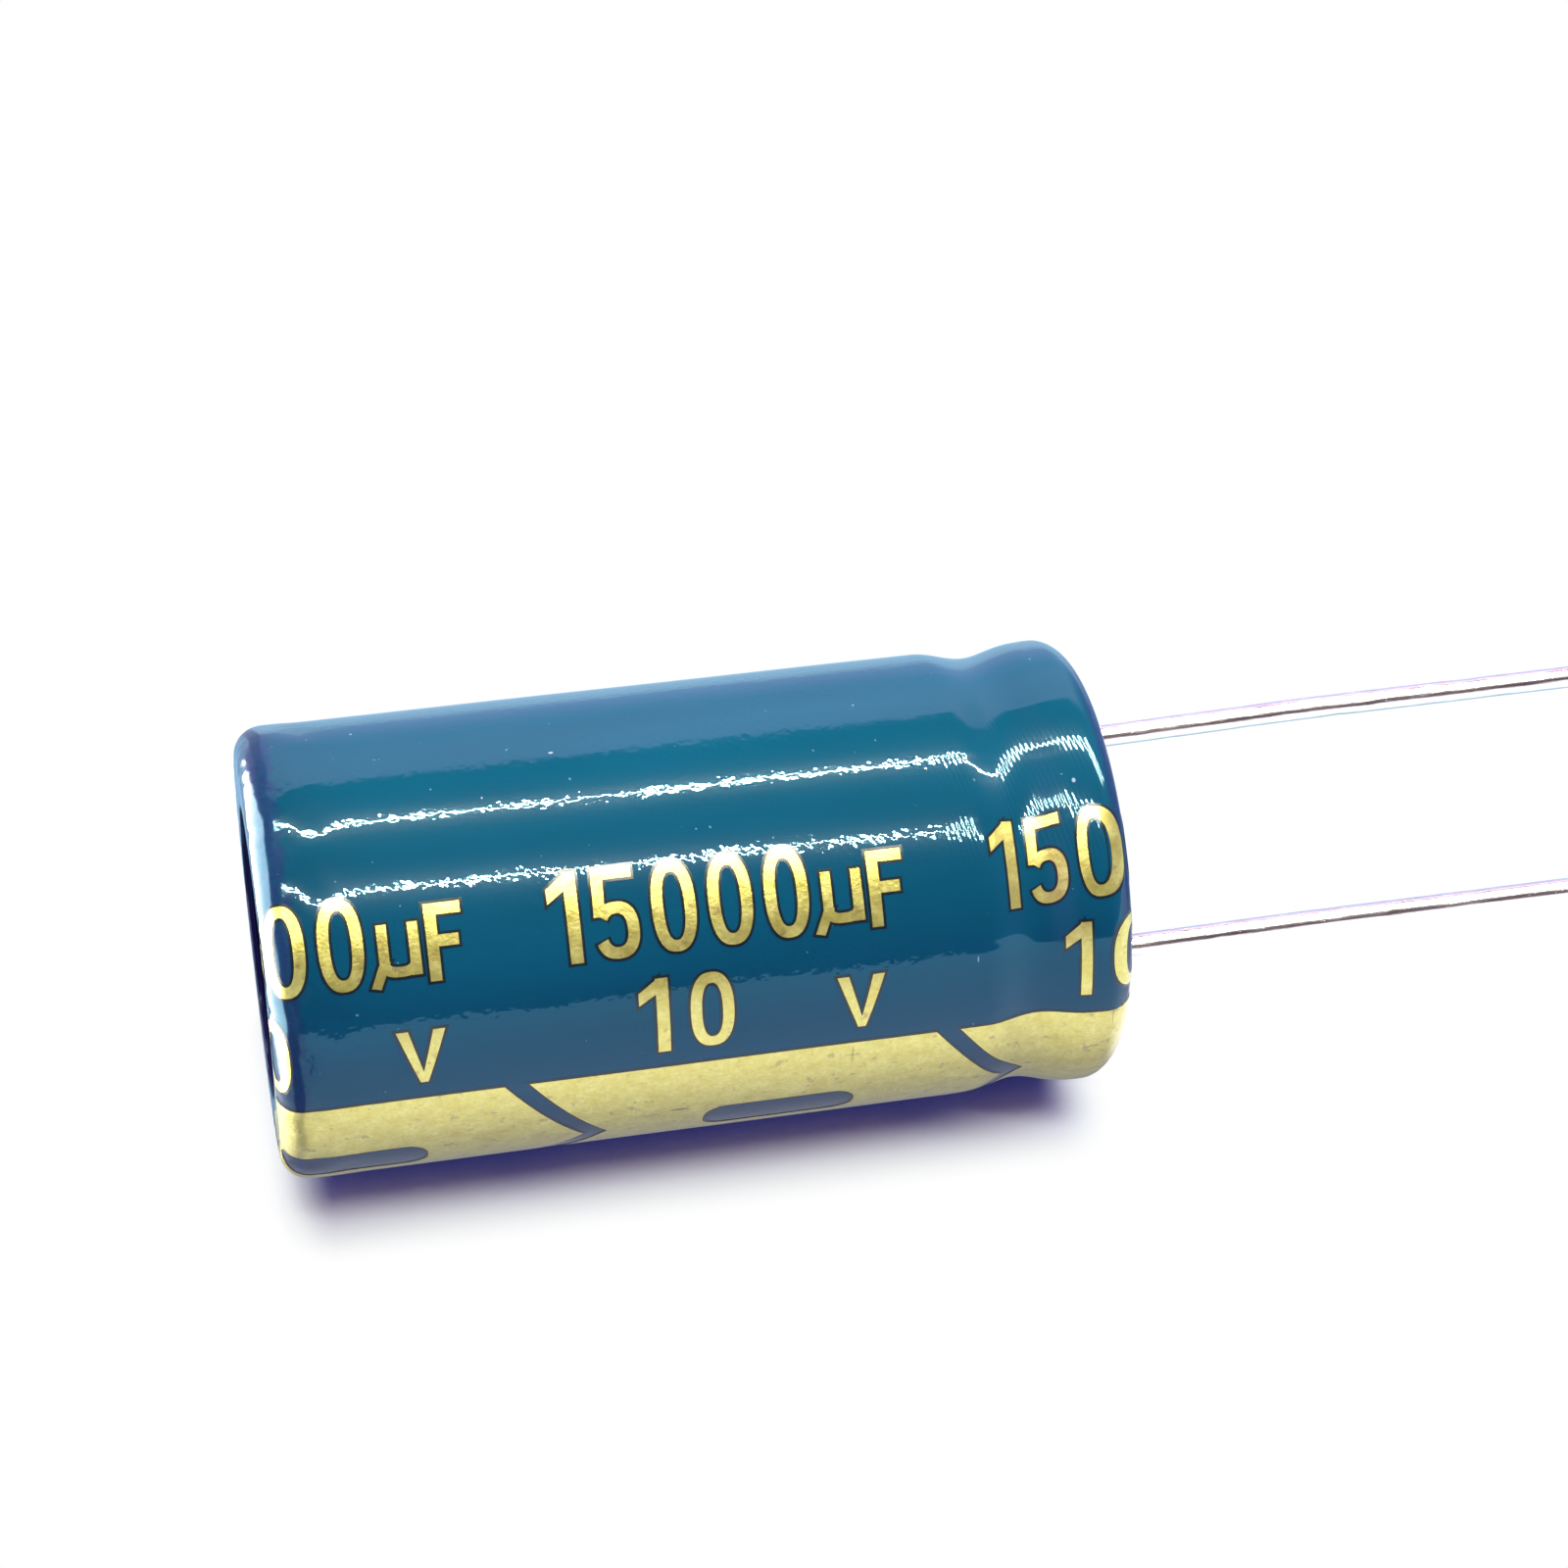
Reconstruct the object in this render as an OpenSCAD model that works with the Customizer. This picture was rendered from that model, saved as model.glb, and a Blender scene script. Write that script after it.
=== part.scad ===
// Radial aluminium electrolytic capacitor, 16 x 30 mm case with two wire leads.
// It stands on its closed (vent) end at z = 0, with the leads pointing up along +Z.
// The leads lie in the XZ plane: negative at +X, positive at -X.
// Angles round the body are degrees from -Y, counted positive towards -X.

/* [Case size] */
// Outer diameter over the sleeve
sleeve_d = 16; // [13:0.5:20]
// Height from the closed end to the top of the rolled rim
body_len = 30; // [27:1:45]

/* [Sleeve] */
// Thickness of the shrunk sleeve
sleeve_wall = 0.15; // [0.1:0.05:0.25]
// Gap between the sleeve and the can
sleeve_fit = 0.01; // [0:0.01:0.05]
// Outer radius of the corner at the closed end
corner_r = 1.1; // [0.9:0.1:1.6]
// Diameter left open by the sleeve on the closed end
sleeve_open_d = 10.5; // [7:0.5:10.5]
// Depth to which the sleeve is drawn into the bead groove
sleeve_dip = 0.33; // [0.1:0.05:0.5]
// Angle by which the sleeve laps over the rolled rim
rim_lap = 120; // [90:15:135]

/* [Can] */
// Wall thickness of the drawn can
can_wall = 0.35; // [0.25:0.05:0.4]
// Thickness of the closed end
can_base = 0.45; // [0.35:0.05:0.8]
// Outer radius of the rolled rim, over the sleeve
rim_r = 0.95; // [0.9:0.05:1.2]
// Height of the bead centre below the top of the rim
bead_from_top = 3.9; // [3.7:0.1:4.4]
// Width of the bead groove
bead_width = 4.2; // [3.4:0.2:4.4]
// Depth of the bead groove in the can
bead_depth = 0.8; // [0.6:0.1:1]
// Length of each stroke of the vent score
score_len = 9; // [5:0.5:10]
// Width of the vent score
score_w = 0.4; // [0.2:0.1:0.6]
// Depth of the vent score
score_depth = 0.2; // [0.1:0.05:0.25]

/* [Seal] */
// Length of the rubber seal
seal_len = 5; // [4.6:0.2:7]
// Gap between the seal and the can, and between the seal and the tabs
seal_fit = 0.02; // [0.01:0.01:0.05]
// Thickness of rubber left over the tab stems
seal_roof = 0.9; // [0.6:0.1:1.4]
// Height of the collar round each lead
collar_h = 0.25; // [0.1:0.05:0.5]
// Width of the collar round each lead
collar_w = 0.55; // [0.3:0.05:0.8]

/* [Leads] */
// Diameter of the lead wire
lead_d = 0.8; // [0.6:0.1:1]
// Distance between the two leads in the seal
lead_pitch = 7.5; // [6.5:0.5:8]
// Length of the positive lead above the seal
lead_len_positive = 26; // [15:1:40]
// Length of the negative lead above the seal
lead_len_negative = 21; // [12:1:36]
// Distance by which the positive lead is pushed towards -X above the seal
push_positive = 0.7; // [0.1:0.05:1]
// Distance by which the negative lead is pushed towards -X above the seal
push_negative = 0.43; // [0.1:0.01:1]
// Height over which that push happens
push_rise = 2.2; // [1.5:0.1:4]
// Swelling of the wire where it is bent
knee_swell = 0.02; // [0.01:0.01:0.04]
// Diameter of the weld between wire and tab
weld_d = 1.2; // [1.1:0.1:1.6]
// Length of that weld
weld_len = 0.6; // [0.4:0.1:0.8]

/* [Tabs] */
// Diameter of the aluminium stem in the seal
stem_d = 2.4; // [2:0.1:2.8]
// Length of the stem below the seal
stem_below = 1.2; // [0.6:0.1:1.6]
// Width of the flattened paddle in the roll
paddle_w = 2.6; // [2:0.1:3.4]
// Thickness of the flattened paddle
paddle_t = 0.35; // [0.2:0.05:0.5]
// Length of the paddle inside the roll
paddle_len = 15; // [8:1:18]
// Gap between the paddle and the turns on each side of it
paddle_fit = 0.05; // [0.02:0.01:0.1]

/* [Wound element] */
// Radial gap between the taped roll and the can wall
roll_gap = 0.25; // [0.1:0.05:0.5]
// Gap between the roll and the floor of the can
roll_floor_gap = 0.25; // [0.1:0.05:0.5]
// Gap between the top of the roll and the tab stems
roll_top_gap = 0.6; // [0.3:0.1:1]
// Diameter of the hole left by the winding spindle
spindle_d = 2.6; // [1.5:0.1:3]
// Distance between the paper edges that stand proud at both ends
turn_pitch = 0.6; // [0.4:0.1:1]
// Height by which the paper stands proud of the foil
paper_proud = 0.4; // [0.2:0.1:0.8]
// Thickness of the tape that closes the roll
tape_t = 0.05; // [0.05:0.01:0.1]
// Width of that tape
tape_w = 12; // [6:1:16]

/* [Print] */
// Thickness of the printed foil
print_t = 0.03; // [0.02:0.01:0.05]
// Length after which the print repeats along the sleeve
print_pitch = 15.07; // [14:0.01:18]
// Start of the full value along the sleeve
value_start = 9.8; // [8:0.1:12]
// Distance round the body from the voltage row up to the value row
value_gap = 0.85; // [0.5:0.05:1.2]
// Height of the digits in the value row
value_h = 3.1; // [2.4:0.1:3.6]
// Distance round the body from the stripe up to the voltage row
volt_gap = 0.8; // [0.5:0.05:1.2]
// Height of the digits in the voltage row
volt_h = 2.85; // [2:0.05:3]
// Width of each round digit
digit_w = 1.5; // [1.2:0.05:1.7]
// Distance from digit to digit in the value row
digit_step = 1.93; // [1.8:0.01:2.2]
// Distance from the start of the value to the start of the voltage
volt_shift = 2.75; // [1:0.05:4]
// Distance from the start of the voltage to its unit
volt_unit_at = 6.9; // [5:0.1:8]
// Stroke width of the digits
stroke = 0.36; // [0.25:0.01:0.45]
// Angle of the middle of the polarity stripe
stripe_angle = -70.5; // [-75:0.5:-66]
// Width of the polarity stripe round the body
stripe_w = 7.5; // [5:0.1:8]
// Distance from the start of the value to the tip of the chevron
chevron_shift = 1.6; // [1:0.1:3]
// Distance from the start of the value to the start of the minus bar
bar_shift = 5; // [4:0.1:6.5]
// Width of each chevron line along the body
chevron_w = 0.85; // [0.5:0.05:1.2]
// Distance from the ends of a chevron to its tip along the body
chevron_reach = 2.7; // [1.5:0.1:4]
// Length of each minus bar
bar_len = 5.4; // [4:0.1:6]
// Width of each minus bar
bar_w = 1.6; // [1:0.1:2.2]
// Corner radius of each minus bar
bar_r = 0.35; // [0.1:0.05:0.45]

/* [Hidden] */
$fn = 96;

// Angle of one step along the rounded parts of a profile, and the steps in the bead
ARC_STEP = 15;
BEAD_STEPS = 14;
// Steps round a printed oval
OVAL_STEPS = 28;
// Overshoot of a cutting shape past the face it cuts
CUT = 1;

body_r = sleeve_d / 2;
can_r = body_r - sleeve_wall - sleeve_fit;
can_inner_r = can_r - can_wall;
can_bottom = sleeve_wall;
can_top = body_len - sleeve_wall - sleeve_fit;
can_floor = can_bottom + can_base;
can_corner_r = corner_r - sleeve_wall;
curl_r = rim_r - sleeve_wall - sleeve_fit;
curl_tip = can_top - curl_r;
bead_z = body_len - bead_from_top;

seal_top = curl_tip - seal_fit;
seal_bottom = seal_top - seal_len;
seal_r = can_inner_r - seal_fit;
stem_top = seal_top - seal_roof;
stem_bottom = seal_bottom - stem_below;
weld_r = weld_d / 2;

roll_bottom = can_floor + roll_floor_gap;
roll_top = stem_bottom - roll_top_gap;
roll_r = can_inner_r - roll_gap - tape_t;
tape_z = (roll_bottom + roll_top - tape_w) / 2;

// Drop of a bead of the given depth at height z, a raised cosine
function dip(z, depth) =
    abs(z - bead_z) < bead_width / 2
        ? depth * (1 + cos(360 * (z - bead_z) / bead_width)) / 2
        : 0;

// Points of an arc about (r, z), from angle a0 up to a1
function arc(r, z, rad, a0, a1) =
    [for (a = [a0:ARC_STEP:a1]) [r + rad * cos(a), z + rad * sin(a)]];

// Wall points through the bead, upwards, for a wall of radius r and a bead of the given depth
function beaded(r, depth) =
    [for (i = [0:BEAD_STEPS])
        let (z = bead_z + bead_width * (i / BEAD_STEPS - 0.5)) [r - dip(z, depth), z]];

// Outer outline of the sleeve moved outwards by e, from the given corner angle to the lap angle
function sleeve_outline(e, from_angle, to_angle) =
    concat(arc(body_r - corner_r, corner_r, corner_r + e, from_angle, 0),
           beaded(body_r + e, sleeve_dip),
           arc(body_r - rim_r, body_len - rim_r, rim_r + e, 0, to_angle));

function reversed(list) = [for (i = [len(list) - 1:-1:0]) list[i]];

// Deep drawn can with its bead, rolled rim and scored vent
module can() {
    outer = concat([[0, can_bottom]],
                   arc(can_r - can_corner_r, can_bottom + can_corner_r, can_corner_r, -90, 0),
                   beaded(can_r, bead_depth),
                   arc(can_r - curl_r, can_top - curl_r, curl_r, 0, 180));
    inner_corner_r = max(can_corner_r - can_wall, 0.2);
    inner = concat([[0, can_floor]],
                   arc(can_inner_r - inner_corner_r, can_floor + inner_corner_r, inner_corner_r, -90, 0),
                   beaded(can_inner_r, bead_depth),
                   arc(can_r - curl_r, can_top - curl_r, curl_r - can_wall, 0, 180));
    color([0.82, 0.83, 0.84])
        difference() {
            rotate_extrude() polygon(concat(outer, reversed(inner)));
            for (turn = [0, 90])
                rotate([0, 0, turn + 45])
                    translate([-score_len / 2, -score_w / 2, can_bottom - CUT])
                        cube([score_len, score_w, CUT + score_depth]);
        }
}

// Heat shrunk sleeve, folded in over the closed end and over the rolled rim
module sleeve() {
    outer = concat([[sleeve_open_d / 2, 0]], sleeve_outline(0, -90, rim_lap));
    inner = concat([[sleeve_open_d / 2, sleeve_wall]], sleeve_outline(-sleeve_wall, -90, rim_lap));
    color([0.07, 0.38, 0.46])
        rotate_extrude() polygon(concat(outer, reversed(inner)));
}

// Rubber seal gripped by the bead, with a stepped hole and a collar for each lead
module rubber_seal() {
    side = [for (p = beaded(seal_r, bead_depth)) if (p[1] > seal_bottom && p[1] < seal_top) p];
    bottom_r = seal_r - dip(seal_bottom, bead_depth);
    top_r = can_r - curl_r;
    shoulder_h = curl_r / 2;
    color([0.12, 0.12, 0.13])
        difference() {
            union() {
                rotate_extrude()
                    polygon(concat([[0, seal_bottom], [bottom_r, seal_bottom]], side,
                                   [[seal_r, seal_top - shoulder_h], [top_r, seal_top], [0, seal_top]]));
                for (x = [-1, 1])
                    translate([x * lead_pitch / 2, 0, seal_top - CUT / 2])
                        cylinder(h = CUT / 2 + collar_h, r = lead_d / 2 + seal_fit + collar_w);
            }
            for (x = [-1, 1])
                translate([x * lead_pitch / 2, 0, 0]) {
                    translate([0, 0, seal_bottom - CUT])
                        cylinder(h = stem_top + seal_fit - seal_bottom + CUT, r = stem_d / 2 + seal_fit);
                    translate([0, 0, stem_top])
                        cylinder(h = weld_len + seal_fit, r = weld_r + seal_fit);
                    translate([0, 0, stem_top])
                        cylinder(h = seal_roof + collar_h + CUT, r = lead_d / 2 + seal_fit);
                }
        }
}

// Wire lead: weld, straight part in the seal, slanted push sideways and straight free end
module lead(x, push, length) {
    bend_z = seal_top + collar_h;
    slant = atan2(push, push_rise);
    color([0.78, 0.76, 0.73]) {
        translate([x, 0, stem_top])
            cylinder(h = weld_len, r = weld_r);
        translate([x, 0, stem_top])
            cylinder(h = bend_z - stem_top, r = lead_d / 2);
        translate([x, 0, bend_z]) {
            sphere(r = lead_d / 2 + knee_swell);
            rotate([0, -slant, 0])
                cylinder(h = norm([push, push_rise]), r = lead_d / 2);
        }
        translate([x - push, 0, bend_z + push_rise]) {
            sphere(r = lead_d / 2 + knee_swell);
            cylinder(h = length - collar_h - push_rise, r = lead_d / 2);
        }
    }
}

module lead_positive() { lead(-lead_pitch / 2, push_positive, lead_len_positive); }
module lead_negative() { lead(lead_pitch / 2, push_negative, lead_len_negative); }

// Aluminium tab: round stem in the seal, flattened to a paddle between the turns of the roll
module tab(x) {
    color([0.86, 0.87, 0.88])
        translate([x, 0, 0]) {
            translate([0, 0, stem_bottom])
                cylinder(h = stem_top - stem_bottom, r = stem_d / 2);
            translate([-paddle_t / 2, -paddle_w / 2, roll_top - paddle_len])
                cube([paddle_t, paddle_w, paddle_len + roll_top_gap + stem_below / 2]);
        }
}

module tab_positive() { tab(-lead_pitch / 2); }
module tab_negative() { tab(lead_pitch / 2); }

// Roll of foils and paper, with the paper edges proud at both ends and a slot for each paddle
module wound_element() {
    core_r = spindle_d / 2;
    turns = floor((roll_r - core_r) / turn_pitch);
    foil_bottom = roll_bottom + paper_proud;
    foil_top = roll_top - paper_proud;
    color([0.83, 0.78, 0.66])
        difference() {
            rotate_extrude() {
                translate([core_r, foil_bottom])
                    square([roll_r - core_r, foil_top - foil_bottom]);
                for (i = [0:turns - 1])
                    translate([roll_r - (i + 0.5) * turn_pitch, roll_bottom])
                        square([turn_pitch / 2, roll_top - roll_bottom]);
            }
            for (x = [-1, 1])
                translate([x * lead_pitch / 2 - paddle_t / 2 - paddle_fit, -paddle_w / 2 - paddle_fit,
                           roll_top - paddle_len - paddle_fit])
                    cube([paddle_t + 2 * paddle_fit, paddle_w + 2 * paddle_fit, paddle_len + CUT]);
        }
}

// Tape round the outside of the roll
module element_tape() {
    color([0.87, 0.85, 0.72, 0.9])
        translate([0, 0, tape_z])
            difference() {
                cylinder(h = tape_w, r = roll_r + tape_t);
                translate([0, 0, -CUT])
                    cylinder(h = tape_w + 2 * CUT, r = roll_r);
            }
}

// Thin layer that lies on the sleeve, in which the print is cut out
module print_layer() {
    corner_start = -75;
    lap_end = 75;
    rotate_extrude()
        polygon(concat(sleeve_outline(print_t, corner_start, lap_end),
                       reversed(sleeve_outline(0, corner_start, lap_end))));
}

// Angle that a length round the body takes, and half the angle that a flat height takes
function round_angle(s) = s / body_r * 180 / PI;
function half_angle(h) = asin(h / 2 / body_r);

// Middle of each row, counted up from the upper edge of the stripe
volt_angle = stripe_angle + round_angle(stripe_w / 2 + volt_gap) + half_angle(volt_h);
value_angle = volt_angle + half_angle(volt_h) + round_angle(value_gap) + half_angle(value_h);

// Stands a flat drawing up against the sleeve: its x runs along the body, its y round it
module wrap_at(angle) {
    reach = body_r / 4;
    rotate([0, 0, -angle])
        rotate([90, -90, 0])
            translate([0, 0, body_r - reach])
                linear_extrude(height = reach + CUT)
                    children();
}

// Oval ring of a zero, or of a round stroke, as a superellipse
function oval(w, h) =
    [for (i = [0:OVAL_STEPS - 1])
        let (a = 360 * i / OVAL_STEPS, c = cos(a), s = sin(a), k = 0.82)
            [w / 2 * sign(c) * pow(abs(c), k), h / 2 * sign(s) * pow(abs(s), k)]];

// Glyphs stand on y = 0, start at x = 0 and are h tall
module digit_zero(w, h) {
    translate([w / 2, h / 2])
        difference() {
            polygon(oval(w, h));
            polygon(oval(w - 2 * stroke, h - 2 * stroke));
        }
}

module digit_one(h) {
    polygon([[0, h * 0.72], [0, h * 0.86], [stroke * 1.5, h], [stroke * 2.5, h],
             [stroke * 2.5, 0], [stroke * 1.4, 0], [stroke * 1.4, h * 0.82]]);
}

module digit_five(w, h) {
    bowl_h = h * 0.62;
    translate([0, h - stroke]) square([w * 0.92, stroke]);
    translate([0, bowl_h * 0.72]) square([stroke, h - bowl_h * 0.72]);
    difference() {
        translate([w / 2, bowl_h / 2]) polygon(oval(w, bowl_h));
        translate([w / 2, bowl_h / 2]) polygon(oval(w - 2 * stroke, bowl_h - 2 * stroke));
        translate([-CUT, bowl_h * 0.3]) square([CUT + w * 0.35, bowl_h * 0.42]);
    }
}

module sign_micro(w, h) {
    tail = h * 0.18;
    polygon([[0, -tail], [stroke, -tail], [stroke * 1.8, h], [stroke * 0.8, h]]);
    translate([stroke, 0]) square([w - stroke * 1.5, stroke]);
    translate([w - stroke, 0]) square([stroke, h]);
}

module letter_f(w, h) {
    square([stroke, h]);
    translate([0, h - stroke]) square([w, stroke]);
    translate([0, h * 0.45]) square([w * 0.85, stroke]);
}

module letter_v(w, h) {
    foot = stroke * 0.6;
    polygon([[0, h], [stroke, h], [w / 2, stroke * 1.4], [w - stroke, h], [w, h],
             [w / 2 + foot, 0], [w / 2 - foot, 0]]);
}

// Value row: five digits and the unit
module value_row() {
    unit_h = value_h * 0.84;
    digit_one(value_h);
    translate([0.75 * digit_step, 0]) digit_five(digit_w, value_h);
    for (i = [0:2])
        translate([(1.78 + i) * digit_step, 0]) digit_zero(digit_w, value_h);
    translate([4.66 * digit_step, stroke / 4]) sign_micro(1.07 * digit_w, unit_h * 0.8);
    translate([5.64 * digit_step, 0]) letter_f(0.87 * digit_w, unit_h);
}

// Voltage row: two digits, a wide space and the unit
module volt_row() {
    digit_one(volt_h);
    translate([0.88 * digit_step, 0]) digit_zero(digit_w, volt_h);
    translate([volt_unit_at, stroke / 4]) letter_v(1.13 * digit_w, volt_h * 0.73);
}

// Both rows, repeated along the sleeve
module rating_print() {
    color([0.93, 0.9, 0.55])
        for (k = [-1:1]) {
            intersection() {
                print_layer();
                wrap_at(value_angle)
                    translate([value_start + k * print_pitch, -value_h / 2]) value_row();
            }
            intersection() {
                print_layer();
                wrap_at(volt_angle)
                    translate([value_start + volt_shift + k * print_pitch, -volt_h / 2]) volt_row();
            }
        }
}

// Arc length across the stripe turned into width across its flat drawing
function across(s) = body_r * sin(round_angle(s));

module chevron(tip) {
    half = across(stripe_w / 2) + CUT;
    back = chevron_reach * half / across(stripe_w / 2);
    polygon([[tip, 0], [tip - back, half], [tip - back - chevron_w, half], [tip - chevron_w, 0],
             [tip - back - chevron_w, -half], [tip - back, -half]]);
}

module minus_bar(start) {
    half = across(bar_w / 2);
    for (y = [-1, 1], x = [start + bar_r, start + bar_len - bar_r])
        translate([x, y * (half - bar_r)]) circle(r = bar_r, $fn = 24);
    translate([start + bar_r, -half]) square([bar_len - 2 * bar_r, 2 * half]);
    translate([start, bar_r - half]) square([bar_len, 2 * (half - bar_r)]);
}

// Polarity stripe: gold with chevrons that point to the leads and minus bars left open
module polarity_print() {
    color([0.93, 0.9, 0.55])
        intersection() {
            print_layer();
            wrap_at(stripe_angle)
                difference() {
                    translate([-CUT, -across(stripe_w / 2)])
                        square([body_len + 2 * CUT, 2 * across(stripe_w / 2)]);
                    for (k = [0:1])
                        chevron(value_start + chevron_shift + k * print_pitch);
                    for (k = [-1:1])
                        minus_bar(value_start + bar_shift + k * print_pitch);
                }
        }
}

can();
sleeve();
rubber_seal();
lead_positive();
lead_negative();
tab_positive();
tab_negative();
wound_element();
element_tape();
polarity_print();
rating_print();
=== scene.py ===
# %% [markdown]
# # A radial aluminium electrolytic capacitor
# The part is an aluminium can in a shrunk plastic sleeve, with a rubber seal and two wire leads. It stands on
# its closed end, and the photograph shows it lying on a white table, so here the camera is rolled instead of
# the part. The solid model comes in first as a fixed frame. The pieces below are fitted to it, in the same
# metres. They could be modelled by hand over it, but formulas keep every size open to a change, so the whole
# scene is made of those.

# %% Load the solid model
import math

import bpy
import numpy as np
from mathutils import Matrix


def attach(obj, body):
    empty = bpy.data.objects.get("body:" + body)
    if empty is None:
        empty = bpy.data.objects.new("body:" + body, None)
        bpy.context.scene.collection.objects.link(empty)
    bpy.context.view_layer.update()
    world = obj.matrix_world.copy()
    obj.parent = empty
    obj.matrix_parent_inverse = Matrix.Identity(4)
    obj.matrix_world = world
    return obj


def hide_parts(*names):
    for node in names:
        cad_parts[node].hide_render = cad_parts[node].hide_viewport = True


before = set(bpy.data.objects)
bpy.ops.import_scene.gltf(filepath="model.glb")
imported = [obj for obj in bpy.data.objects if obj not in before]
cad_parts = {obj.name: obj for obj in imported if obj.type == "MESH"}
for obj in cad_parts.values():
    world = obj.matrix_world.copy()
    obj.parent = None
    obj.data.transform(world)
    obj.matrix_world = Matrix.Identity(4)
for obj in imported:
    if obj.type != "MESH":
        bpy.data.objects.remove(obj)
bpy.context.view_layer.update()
MM = 0.001

# %% [markdown]
# ## Helpers for meshes
# Most pieces are grids: a shape is a function of two numbers, worked out for the whole grid at once with
# numpy. One helper numbers the faces of a grid, and can close it either way round. One turns points and faces
# into a mesh, and keeps the grid's own flat map in millimetres as a UV map, which the finishes use for lines
# that must follow the piece. A modifier could do some of this, but a whole array at once is quick and leaves
# nothing to chance.

# %% Grids, caps and meshes
def grid_faces(rows, columns, close_rows=False, close_columns=False):
    """Corner numbers of the quads of a rows x columns grid: each quad takes the points (i, j), (i, j+1),
    (i+1, j+1) and (i+1, j), with i and j taken round to 0 where the grid closes."""
    i, j = np.meshgrid(np.arange(rows - (not close_rows)), np.arange(columns - (not close_columns)),
                       indexing="ij")
    i, j = i.ravel(), j.ravel()
    i2, j2 = (i + 1) % rows, (j + 1) % columns
    return np.stack([i * columns + j, i * columns + j2, i2 * columns + j2, i2 * columns + j], axis=1)


def fan_faces(centre, ring):
    """Triangles from one centre point to each step of a closed ring of point numbers."""
    return np.stack([np.full(len(ring), centre), np.roll(ring, -1), ring], axis=1)


def build_mesh(name, points_mm, faces, flat_map=None, smooth=True):
    """A mesh object from points in millimetres and a list of face arrays. flat_map gives two numbers for each
    corner of each face, in the order of the faces."""
    mesh = bpy.data.meshes.new(name)
    arrays = [np.asarray(f, np.int32) for f in faces]
    corners = np.concatenate([f.ravel() for f in arrays])
    sizes = np.concatenate([np.full(len(f), f.shape[1]) for f in arrays])
    starts = np.concatenate([[0], np.cumsum(sizes)[:-1]])
    mesh.vertices.add(len(points_mm))
    mesh.vertices.foreach_set("co", (np.asarray(points_mm) * MM).astype(np.float32).ravel())
    mesh.loops.add(len(corners))
    mesh.loops.foreach_set("vertex_index", corners.astype(np.int32))
    mesh.polygons.add(len(sizes))
    mesh.polygons.foreach_set("loop_start", starts.astype(np.int32))
    mesh.polygons.foreach_set("use_smooth", np.full(len(sizes), smooth))
    if flat_map is not None:
        layer = mesh.uv_layers.new(name="millimetres")
        layer.data.foreach_set("uv", np.asarray(flat_map, np.float32).ravel())
    mesh.update(calc_edges=True)
    mesh.validate()
    piece = bpy.data.objects.new(name, mesh)
    bpy.context.scene.collection.objects.link(piece)
    return piece


print("a closed 3 x 4 grid has", len(grid_faces(3, 4, True, True)), "faces")

# %% [markdown]
# ## Placing a piece
# Every piece needs the same last steps: its material, hiding the solid piece that it stands for, and the
# body that it rides on. One function does that and counts the triangles.

# %% Place a piece
def place(piece, finish, slot_name, *stands_for):
    """Gives a piece its material, hides the solid nodes it stands for, and lets it ride on the one
    body. slot_name is not used."""
    piece.data.materials.append(finish)
    if stands_for:
        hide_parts(*stands_for)
    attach(piece, "root")
    piece.data.calc_loop_triangles()
    print(piece.name, len(piece.data.loop_triangles), "triangles")
    return piece


def step(x, a, b):
    """Smooth step: 0 below a, 1 above b, and 3t2 - 2t3 between them."""
    t = np.clip((x - a) / (b - a), 0, 1)
    return t * t * (3 - 2 * t)


print("half way, the smooth step is", step(0.5, 0, 1))

# %% [markdown]
# ## Helpers for finishes
# A finish is a tree of shader nodes. It could be drawn in the shader editor, but written down it can be read
# and repeated. One small function adds a node with its settings and its links, so that each finish below
# reads as a list of what the maker's process leaves on the surface. Colours are written as they look on the
# screen and turned into the linear values that light works with.

# %% Colours and nodes
def colour(code):
    """Linear colour of a hex code: each share c becomes ((c + 0.055) / 1.055) ** 2.4, or c / 12.92 where
    dark."""
    c = np.array([int(code[k:k + 2], 16) / 255 for k in (1, 3, 5)])
    line = np.where(c > 0.04045, ((c + 0.055) / 1.055) ** 2.4, c / 12.92)
    return (*[float(v) for v in line], 1.0)


def feed(tree, value, socket):
    """Gives a socket a plain value, or a link from an output. A whole node stands for its first output in
    use."""
    if isinstance(value, bpy.types.Node):
        value = next(output for output in value.outputs if output.enabled)
    if isinstance(value, bpy.types.NodeSocket):
        tree.links.new(value, socket)
    else:
        socket.default_value = value


def add(tree, kind, inputs=(), **settings):
    """Adds one shader node. settings are its own properties. inputs feeds its sockets: by name or number, or,
    as a plain row, in the order of those in use."""
    made = tree.nodes.new("ShaderNode" + kind)
    for key, value in settings.items():
        setattr(made, key, value)
    if not isinstance(inputs, dict):
        inputs = dict(zip([k for k, socket in enumerate(made.inputs) if socket.enabled], inputs))
    for key, value in inputs.items():
        feed(tree, value, made.inputs[key])
    return made


def give(tree, shader, values):
    """Feeds several sockets of a shader, by their names."""
    for name, value in values.items():
        feed(tree, value, shader.inputs[name])


print("a mid grey is", round(colour("#808080")[0], 3), "in linear light")

# %% [markdown]
# ## Where a pattern lies
# A pattern needs coordinates. A piece's own ones, in millimetres, make each pattern's scale a real size. For
# marks at one place the flat map of the piece is better, because it gives the place along the film and round
# it.

# %% New finishes and their coordinates
def new_finish(name):
    """An empty material: its tree and its principled shader, with the output linked."""
    material = bpy.data.materials.new(name)
    material.use_nodes = True
    tree = material.node_tree
    return material, tree, tree.nodes["Principled BSDF"]


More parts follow.
